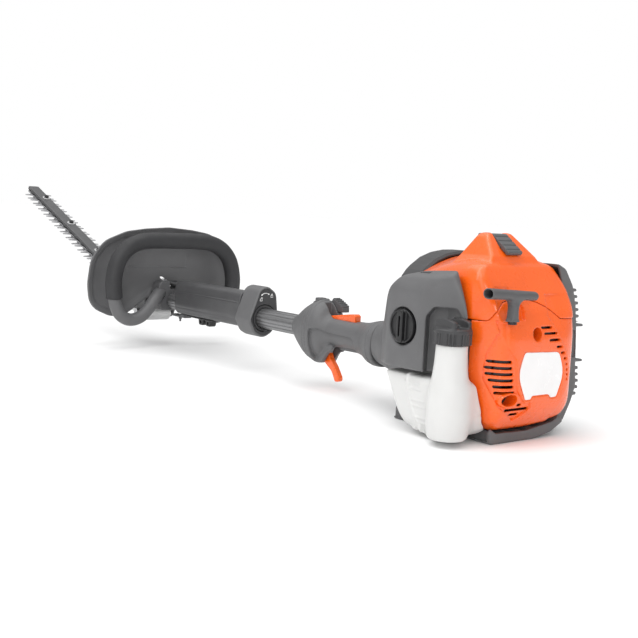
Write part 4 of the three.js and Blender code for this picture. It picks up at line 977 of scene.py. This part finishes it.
def trigger():
    g = Grid((-10, 382, -80), (10, 441, -24), 0.6)
    side = outline([[439, -30, 4], [437, -42, 6], [424, -52, 10], [408, -62, 14], [398, -78, 5],
                    [388, -76, 5], [388, -68, 8], [400, -52, 12], [412, -40, 8], [418, -28, 4]], g.y, g.z)
    shape = prism(side + 0.8, g.x, -5.0, 5.0, 2.0)
    for x in (-2.2, 2.2):
        edge = both(np.abs(side) - 1.4, g.z + 46, 1)
        shape = without(shape, both(slab(g.x, x - 0.7, x + 0.7), edge, 0.5), 0.6)
    boss = prism(disc(g.y, g.z, (429, -37), 7.4), g.x, -6.6, 6.6, 1)
    shape = either(shape, boss, 1)
    shape = without(shape, disc(g.y, g.z, (426, -34), 2.4), 0.3)
    dress(moulded("trigger_lever", shape, g, 0.5), "orange_plastic", "trigger", "throttle_trigger")


def lockout():
    g = Grid((-9, 352, 15), (9, 428, 37), 0.55)
    side = outline([[355, 17, 2], [355, 31, 2.5], [359, 33.6, 2.5], [372, 32.2, 10], [425, 24, 3], [425, 17]],
                   g.y, g.z)
    shape = prism(side, g.x, -6.2, 6.2, 1.4)
    for y in (364, 369, 374, 379):
        shape = without(shape, both(slab(g.y, y - 0.7, y + 0.7), 30.5 - g.z + (g.y - 372) * -0.15, 0.4), 0.6)
    dress(moulded("lockout_wedge", shape, g, 0.5), "orange_plastic", "lockout", "throttle_lockout")


def stop_switch():
    g = Grid((6, 402, 28), (28, 436, 56), 0.6)
    side = outline([[405, 31, 1], [405, 40, 4], [416, 45.5, 8], [429, 51.5, 4], [433, 46, 3], [433, 31, 1]],
                   g.y, g.z)
    teeth = 1.3 * np.clip(np.cos((g.y * 0.85 + g.z * 0.5) * 1.28) * 2.5, -1, 1)
    shape = prism(side + np.where(g.z > 38, teeth, 0) * 0.8 - 0.3, g.x, 10, 24, 1.2)
    dress(moulded("stop_switch_rocker", shape, g, 0.5), "grey_plastic", "stop_switch", "stop_switch")


def switch_plate():
    """Plate with a raised stop on the crown of the lip."""
    g = Grid((-24, 418, 36), (24, 462, 56), 0.7)
    nose_top = barrel(g, NOSE[:4], 2.25)
    plate = both(np.abs(nose_top - 0.4) - 1.0, outline([[442.5, -12, 3], [458, -9, 4], [458, 14, 4],
                                                          [442.5, 17, 3]], g.y, g.x), 0.6)
    lump = block(g, (-6, 443.5, 42), (9, 456, 50.5), 2)
    lug = block(g, (10, 443.5, 40), (15, 452, 49), 1.5)
    shape = both(either(either(plate, lump, 1), lug, 1), slab(g.y, 442, 460))
    dress(moulded("switch_plate", shape, g, 0.5), "grey_plastic", "root")


# ------------------------------------------------------------------ shaft and tilt adjuster
COLLAR = [                        # (X, Z)
    [-32, -3, 14], [-24, 18, 10], [-12, 50, 14], [5, 56, 16], [24, 43, 16], [28, 10, 16], [20, -24, 18],
    [-1, -36, 20], [-21, -25, 16],
]
RIB_R = 17.2
SLIDE_BORE_R = 17.9               # slides on the ribbed tube
MARK_Y = 600.8                    # rear face of the dark sheet of painted shade on the collar


def ribbed_tube():
    sides = 160
    turn = np.linspace(0, 2 * math.pi, sides, endpoint=False)
    wave = np.clip(np.abs(np.cos(turn * 8)) * 4 - 2.6, -1.5, 0)
    rings = []
    for y, outer in ((470.5, True), (904, True), (904, False), (470.5, False)):
        r = RIB_R + wave if outer else np.full(sides, 13.0)
        rings.append(np.stack([r * np.cos(turn), np.full(sides, y), r * np.sin(turn)], 1)[::-1])
    obj = ringed("ribbed_outer_tube", rings, closed=True)
    dress(obj, "bar_alloy", "root", "ribbed_tube")
    bore = [[12.5, 277.5], [12.5, 956.5], [10.5, 956.5], [10.5, 277.5]]
    dress(turned("drive_tube_round", bore, sides=72), "bar_alloy", "root", "drive_tube")


def lock_collar():
    g = Grid((-37, 598, -42), (37, 650, 66), 1.0)
    face = outline(COLLAR, g.x, g.z)
    shape = prism(face, g.y, 600, 647.8, 4.5)
    shape = without(shape, both(face + 3.4, g.y - 602, 0.5), 0.8)
    shape = without(shape, both(np.hypot(g.x, g.z) - 23.4, g.y - 614), 0.6)
    shape = without(shape, np.hypot(g.x, g.z) - SLIDE_BORE_R)
    shape = without(shape, both(np.hypot(g.x, g.z - 32) - 4.4, 619 - g.y))
    dress(moulded("lock_collar_body", shape, g), "mid_grey_plastic", "adjuster", "lock_collar")


def collar_rear_painted_shade():
    # Dark sheet over the collar's rear face: painted shade, so this face reads darker than the collar's lit
    # sides.
    g = Grid((-34, 599, -38), (30, 604, 60), 0.7)
    face = outline(COLLAR, g.x, g.z)
    sheet = both(both(face + 3.8, slab(g.y, 600.9, 602.6), 0.4), 23.6 - np.hypot(g.x, g.z), 0.4)
    dress(moulded("collar_rear_painted_shade", sheet, g), "dark_plastic", "adjuster")


def lock_ring():
    g = Grid((-26, 593, -27), (26, 616, 26), 0.8)
    radius = np.hypot(g.x, g.z)
    shape = both(both(radius - 22.4, 17.8 - radius, 0.8), slab(g.y, 600.8, 613.4), 0.6)
    for turn in np.radians([215, 245, 305, 335]):
        bump = np.hypot(g.x - 21.2 * math.cos(turn), g.z - 21.2 * math.sin(turn)) - 1.4
        shape = either(shape, both(bump, slab(g.y, 599, 604)), 0.5)
    tab = block(g, (-3.4, 595.2, -22.3), (3.4, 606, -18.2), 1)
    shape = either(shape, tab, 0.8)
    dress(moulded("lock_ring_turned", shape, g, 0.5), "dark_plastic", "lock_ring", "lock_ring")


def adjuster_sleeve():
    g = Grid((-23, 647, -23), (23, 874, 44), 1.15)
    face = outline([[-21, -2, 18], [-21, 24, 22], [-17, 41.5, 14], [17, 41.5, 14], [21, 24, 22],
                    [21, -2, 18], [17, -21, 14], [-17, -21, 14]], g.x, g.z)
    shape = prism(face, g.y, 649.2, 871.8, 2)
    for z in (-7.5, 22):
        line = both(slab(g.z, z - 0.6, z + 0.6), -face - 0.9)
        shape = without(shape, both(line, slab(g.y, 655, 866)), 0.5)
    shape = without(shape, np.hypot(g.x, g.z) - SLIDE_BORE_R, 0.5)
    channel = outline([[-9, 22, 3], [9, 22, 3], [9, 37.6, 7], [-9, 37.6, 7]], g.x, g.z)
    shape = without(shape, channel, 0.5)
    dress(moulded("adjuster_sleeve_body", shape, g), "anodised_alloy", "adjuster", "adjuster_sleeve")


def sleeve_clip():
    g = Grid((-11, 748, -38), (11, 850, -20), 0.7)
    rail = block(g, (-9, 752, -24.4), (9, 846, -21.4), 1)
    for y in (771, 796):
        lobe = prism(outline([[y - 9, -22, 2], [y + 9, -22, 2], [y + 7.5, -35, 5], [y - 7.5, -35, 5]],
                             g.y, g.z), g.x, -7, 7, 1.8)
        lobe = without(lobe, disc(g.y, g.z, (y, -29), 2.6), 0.5)
        rail = either(rail, lobe, 1.5)
    dress(moulded("sleeve_clip_body", rail, g, 0.5), "black_plastic", "adjuster", "sleeve_clip")


def link_bracket():
    g = Grid((-13, 850, -40), (13, 908, -19), 0.7)
    shape = block(g, (-11, 853, -25), (11, 868, -21.4), 1)
    shape = either(shape, block(g, (-8, 853, -29), (8, 905, -24.8), 1.4), 1)
    shape = either(shape, both(disc(g.x, g.y, (0, 882), 3.2), slab(g.z, -33, -27)), 0.5)
    shape = either(shape, both(disc(g.x, g.y, (0, 882), 2), slab(g.z, -38, -30)), 0.5)
    dress(moulded("link_bracket_bar", shape, g, 0.5), "grey_plastic", "adjuster", "link_bracket")


def marks():
    """Generic turn arrow and two padlocks in white on the collar's rear face."""
    y = MARK_Y
    arc = [(0.5 + 11 * math.sin(t), 33 + 10 * math.cos(t)) for t in np.linspace(-0.8, 0.6, 12)]
    stroke("mark_arrow", [(x, y, z) for x, z in arc], 0.55)
    for x, z in (arc[0], arc[-1]):
        stroke("mark_dot", [(x, y - 0.1, z), (x, y + 0.1, z)], 1.3)
    for x, z, open_side in ((-8.5, 31.5, 1.4), (13.5, 37.5, 0)):
        body = [(x + 1.9 * u, y, z + 1.7 * v) for u, v in ((-1, -1), (1, -1), (1, 1), (-1, 1), (-1, -1))]
        stroke("mark_padlock", body, 0.45)
        bow = [(x + open_side + 1.4 * math.cos(t), y, z + 2.2 + 2 * math.sin(t))
               for t in np.linspace(0, 3.14, 9)]
        stroke("mark_bow", bow, 0.4)


def stroke(name, points, radius):
    obj = swept(name, points, radius, sides=10)
    return dress(obj, "blank_label", "adjuster")


# ------------------------------------------------------------------ loop handle and guard
LOOP_PLANE = 905
LOOP_HALF = [                     # from the clamp out and up to the middle, (X, Y from the loop plane, Z)
    (-20, 20, 16.5), (-30, 12, 12), (-44, 2, 2), (-58, 0, -15), (-76, 0, -31), (-98, 0, -35), (-118, 0, -24),
    (-130, 0, 4), (-132, 0, 44), (-122, 0, 80), (-102, 0, 102), (-76, 0, 113), (-40, 0, 116), (0, 0, 116),
]
GRIP_FROM = 7


def loop_route(first, steps):
    left = LOOP_HALF[first:]
    right = [(-x, y, z) for x, y, z in left[:-1]][::-1]
    return curve_through([(x, LOOP_PLANE + y, z) for x, y, z in [*left, *right]], steps)


def loop_handle():
    dress(swept("loop_tube_bent", loop_route(0, 150), 12.0, sides=40), "mid_grey_plastic", "root",
          "loop_handle_tube")
    route = loop_route(GRIP_FROM, 170)
    reach = np.linspace(0, 1, len(route))
    ends = np.minimum(reach, 1 - reach) * 480
    radii = 15.4 - 3.0 * np.clip(1 - ends / 1.5, 0, 1) ** 2
    grip = swept("loop_grip_foam", route, radii, sides=44)
    dress(grip, "rubber", "root", "loop_handle_grip")
    for x in (-76, -45, 45, 80):
        near = int(np.argmin(np.abs(route[:, 0] - x)))
        point = route[near]
        out = np.array([-0.25, -0.75, 0.6 if abs(x) > 60 else -0.35])
        out /= np.linalg.norm(out)
        pip = [point + out * 13.2, point + out * 15.55]
        dress(swept("grip_vent", pip, 1.5, sides=14), "black_plastic", "root")


def loop_clamp():
    g = Grid((-36, 909, -22), (36, 941, 40), 0.9)
    face = outline([[-26, -20, 10], [26, -20, 10], [33.4, 8, 10], [31, 37, 10], [-31, 37, 10],
                    [-33.4, 8, 10]], g.x, g.z)
    shape = prism(face, g.y, 911.3, 938.6, 2.5)
    shape = without(shape, np.hypot(g.x, g.z) - 12.9)
    shape = without(shape, block(g, (-8, 900, 22), (8, 990, 60), 1))
    for side in (-1, 1):
        shape = without(shape, bar(g, (side * 20, 925, 16.5), (side * 38, 911, 7), 12.4), 0.6)
        shape = without(shape, both(disc(g.y, g.z, (925, -8), 3.4), 29 - side * g.x), 0.4)
    for y in (917, 925, 933):
        shape = without(shape, both(both(np.abs(face) - 1.3, slab(g.y, y - 1, y + 1)), g.z + 2), 0.6)
    dress(moulded("loop_clamp_block", shape, g), "grey_plastic", "root", "loop_clamp")


GUARD_HALF = [                    # right half of the hand guard, seen from the rear, (X, Z)
    [0, 141, 60], [52, 137, 60], [91, 131, 50], [134, 113, 40], [161.5, 80, 60], [167.5, 30, 60],
    [162.5, -14, 40], [118, -33, 30], [84, -26, 40], [50, 0, 40], [24, 12, 24], [0, 13, 20],
]
GUARD_FACE = [*GUARD_HALF, *[[-x, z, r] for x, z, r in GUARD_HALF[1:-1]][::-1]]


def hand_guard():
    g = Grid((-170, 919, -37), (170, 956, 144), 1.5)
    face = outline(GUARD_FACE, g.x, g.z)
    bowl = 947 - 9 * np.clip(1 + (face + 3) / 34, 0, 1.2) ** 2 + 0.00020 * g.x ** 2
    sheet = both(g.y - bowl - 3.4, bowl - g.y, 0.6)
    shape = both(sheet, face + 1.5, 2.5)
    lip = np.hypot(np.maximum(np.abs(face + 5.5) - 2.5, 0), g.y - bowl - 1.0) - 3.2
    shape = either(shape, both(lip, face), 3)
    pad = outline([[-78, 62, 3], [47, 60, 3], [47, 94, 6], [-52, 96, 14], [-78, 74, 6]], g.x, g.z)
    shape = without(shape, both(pad, g.y - bowl - 0.9), 0.8)
    ridge = both(both(np.abs(g.z - 62.5) - 1.0, slab(g.x, -80, 48)), np.abs(g.y - bowl - 0.2) - 1.2, 0.6)
    shape = either(shape, ridge, 0.8)
    slit = outline([[-14, 44, 2.5], [-5, 43, 3], [16, 27, 3], [9, 24, 3]], g.x, g.z)
    shape = without(shape, slit, 0.5)
    seat = block(g, (-35, 900, -60), (35, 939.4, 38.5), 2)
    shape = without(shape, seat, 0.8)
    shape = without(shape, both(np.hypot(g.x, g.z) - 20, slab(g.y, 900, 980)), 1)
    dress(moulded("hand_guard_shell", shape, g, 0.4), "mid_grey_plastic", "root", "hand_guard")


# ------------------------------------------------------------------ cutter head
PIVOT = np.array([0, 985, -30])
TILT = math.radians(20.8)
BAR_START, BAR_LENGTH, PITCH = 62, 615, 34
CUT_PLANE = -6
BOLTS = [BAR_START + 70 + 155 * k for k in range(4)]


def tilted(points):
    """Cutter head points, drawn level about the pivot, as they stand at rest."""
    points = np.asarray(points, float)
    y, z = points[:, 1], points[:, 2]
    turned_y = y * math.cos(TILT) - z * math.sin(TILT)
    turned_z = y * math.sin(TILT) + z * math.cos(TILT)
    return np.stack([points[:, 0], turned_y, turned_z], 1) + PIVOT


def tilted_moulding(name, field, g, keep=0.4):
    """Moulded piece drawn in the cutter head's own frame."""
    obj = moulded(name, field, g, keep)
    flat = np.empty(len(obj.data.vertices) * 3)
    obj.data.vertices.foreach_get("co", flat)
    drawn = (flat.reshape(-1, 3) - np.array(ORIGIN)) / MM
    obj.data.vertices.foreach_set("co", (tilted(drawn) * MM + np.array(ORIGIN)).ravel())
    obj.data.update()
    return obj


def plate(name, loop, low, high, bevel=0.4):
    """Flat plate from a plan outline in the cutter head's frame, with fine bevelled edges."""
    loop = np.asarray(loop, float)
    rings = [tilted(np.column_stack([loop, np.full(len(loop), z)])) for z in (low, high)]
    if area(loop) < 0:
        rings = rings[::-1]
    obj = ringed(name, rings)
    obj.data.polygons.foreach_set("use_smooth", [False] * len(obj.data.polygons))
    applied(obj, BEVEL={"width": bevel * MM, "segments": 2, "limit_method": "ANGLE"})
    return obj


def area(loop):
    ahead = np.roll(loop, -1, axis=0)
    return 0.5 * float(np.sum(loop[:, 0] * ahead[:, 1] - ahead[:, 0] * loop[:, 1]))


def blade_loop(phase):
    """Plan of one toothed blade: long narrow teeth with a waved root between them."""
    right = [[15, BAR_START - 34], [15, BAR_START + 8], [30, BAR_START + 8 + phase * 0.2],
             [31, BAR_START + 18], [15, BAR_START + 22]]
    first = BAR_START + 24 + phase
    for tooth in range(int((BAR_LENGTH - 34 - phase) // PITCH)):
        y = first + tooth * PITCH
        right += [[14, y], [16.5, y + 4], [32.6, y + 6.4], [33, y + 8.4], [32, y + 9.4], [17.5, y + 12.5],
                  [15, y + 18], [13.8, y + 26]]
    end = BAR_START + BAR_LENGTH
    right += [[14, end - 8], [9, end]]
    left = [[-x, y] for x, y in right][::-1]
    return [*right, *left]


def blades():
    for name, phase, low, body in (("upper", 0, CUT_PLANE + 0.3, "upper_blade"),
                                   ("lower", PITCH / 2, CUT_PLANE - 2, "lower_blade")):
        obj = plate(f"{name}_blade_ground", blade_loop(phase), low, low + 2)
        dress(obj, "ground_steel", body, f"{name}_blade")


def guide_bar():
    g = Grid((-17, BAR_START + 14, CUT_PLANE + 1.5), (17, BAR_START + BAR_LENGTH + 2, CUT_PLANE + 12), 1.15)
    wave = 1.6 * np.cos(g.y * 2 * math.pi / PITCH)
    width = np.abs(g.x) - 12.8 - np.clip(wave, -1.2, 1.2) * np.clip((CUT_PLANE + 8 - g.z) / 4, 0, 1)
    shape = both(width, slab(g.y, BAR_START + 18, BAR_START + BAR_LENGTH - 1), 4)
    shape = both(shape, slab(g.z, CUT_PLANE + 2.8, CUT_PLANE + 10.4), 1.2)
    for y in BOLTS:
        seat = both(disc(g.x, g.y, (3, y), 11), slab(g.z, CUT_PLANE + 6, CUT_PLANE + 11))
        shape = either(shape, seat, 0.8)
    obj = tilted_moulding("guide_bar_rail", shape, g, 0.25)
    dress(obj, "anodised_alloy", "cutter_head", "guide_bar")
    up = (0, -math.sin(TILT), math.cos(TILT))
    for y in BOLTS:
        at = tilted([[3, y, CUT_PLANE + 10.8]])[0]
        screw("bar_washer", at, up, 9, 1.4, "cutter_head", "cast_alloy")
        screw("bar_bolt", at + np.array(up) * 1.2, up, 5, 4.4, "cutter_head")


def gear_case():
    g = Grid((-33, -20, -18), (33, 84, 20), 0.95)
    drum = both(disc(g.y, g.z, (0, 0), 17), slab(g.x, -30, 30), 3)
    nose = outline([[-28, 0, 8], [28, 0, 8], [30, 38, 16], [22, 80, 12], [-22, 80, 12], [-30, 38, 16]],
                   g.x, g.y)
    lid = 14 - 0.10 * np.maximum(g.y - 20, 0)
    nose = both(nose, both(g.z - lid, 1.6 - g.z, 2), 3)
    dome = np.sqrt((g.x / 1.1) ** 2 + (g.y - 44) ** 2 + (g.z - 2) ** 2 * 2.2) - 22
    shape = either(either(drum, nose, 4), both(dome, 1.6 - g.z), 3)
    for x in (-18, 18):
        for y in (26, 62):
            shape = either(shape, both(disc(g.x, g.y, (x, y), 5.6), slab(g.z, 1.6, 14)), 1.5)
    for x in (-22, -11, 0, 11, 22):
        fin = both(slab(g.x, x - 1.1, x + 1.1), both(disc(g.y, g.z, (0, 0), 18.6), 4 - g.y), 0.5)
        shape = either(shape, fin, 1)
    shape = without(shape, both(disc(g.x, g.y, (0, 46), 21), slab(g.z, -10, 10.6)))
    shape = without(shape, both(disc(g.y, g.z, (0, 0), 14), slab(g.x, -12, 12)))
    shape = without(shape, disc(g.y, g.z, (0, 0), 5.5))
    obj = tilted_moulding("gear_case_cast", shape, g)
    dress(obj, "cast_alloy", "cutter_head", "gear_case")
    up = (0, -math.sin(TILT), math.cos(TILT))
    for x in (-18, 18):
        for y in (26, 62):
            screw("case_screw", tilted([[x, y, 13.8]])[0], up, 3.6, 3.2, "cutter_head")
    bottom = rounded([[-26, 22, 4], [26, 22, 4], [28, 44, 14], [20, 74, 10], [-20, 74, 10], [-28, 44, 14]])
    obj = plate("gear_case_cover", bottom, CUT_PLANE - 10, CUT_PLANE - 3.1, 1.0)
    dress(obj, "cast_alloy", "cutter_head", "gear_case_plate")
    for x, y in ((-19, 30), (19, 30), (-15, 66), (15, 66)):
        screw("cover_screw", tilted([[x, y, CUT_PLANE - 9.8]])[0], [-a for a in up], 3.2, 2.4, "cutter_head")


def angle_housing():
    g = Grid((-39, 938, -43), (39, 998, 22), 0.95)
    radius = np.hypot(g.x, g.z)
    nose = both(radius - 20 + np.clip(g.y - 957, 0, 9) * 0.4, slab(g.y, 941, 966.8), 2)
    shape = either(nose, block(g, (-37, 955, -12), (37, 964, 8), 2), 2)
    for side in (-1, 1):
        ear = outline([[955, 8, 3], [966, 8, 4], [994, -20, 9], [994, -40, 9], [977, -41, 8], [955, -12, 6]],
                      g.y, g.z)
        shape = either(shape, prism(ear, g.x, *sorted((side * 31.2, side * 36.8)), 1.4), 1.5)
    ribs = both(both(slab(((g.x + 100) % 8) - 4, -1, 1), radius - 21.2), slab(g.y, 944, 957), 0.6)
    shape = either(shape, ribs, 0.6)
    bore = both(radius - 12.9, slab(g.y, 930, 958))
    shape = without(without(shape, bore), both(radius - 10, slab(g.y, 950, 963)))
    shape = without(shape, both(disc(g.y, g.z, (985, -30), 18.2), slab(g.x, -30.8, 30.8)), 0.6)
    shape = without(shape, disc(g.y, g.z, (985, -30), 5.5))
    dress(moulded("angle_housing_yoke", shape, g), "dark_plastic", "root", "angle_housing")


# ------------------------------------------------------------------ carried-over CAD nodes
def keep_cad_nodes():
    """CAD nodes that nothing replaces get a worked material and a fine bevel."""
    for name, obj in NODES.items():
        if obj.hide_render:
            continue
        for spot in obj.material_slots:
            spot.material = LOOKS[spot.material.name.split(".")[0]]
        bevel = obj.modifiers.new("edges", "BEVEL")
        bevel.width, bevel.segments, bevel.limit_method = 0.0005, 2, "ANGLE"


PIECES = [
    starter_cover, liner, well_screws, label_plate, upper_cover, latch_insert, starter_handle,
    starter_rope, fuel_tank, fuel_cap, filter_cover, filter_knob, muffler_guard, base_guard,
    clutch_housing, throttle_handle, handle_nose, trigger, lockout, stop_switch, switch_plate,
    ribbed_tube, lock_collar, collar_rear_painted_shade, lock_ring, adjuster_sleeve, sleeve_clip, link_bracket,
    marks, loop_handle, loop_clamp, hand_guard, blades, guide_bar, gear_case, angle_housing,
]

make_camera()
make_stage()
for make_piece in PIECES:
    make_piece()
keep_cad_nodes()
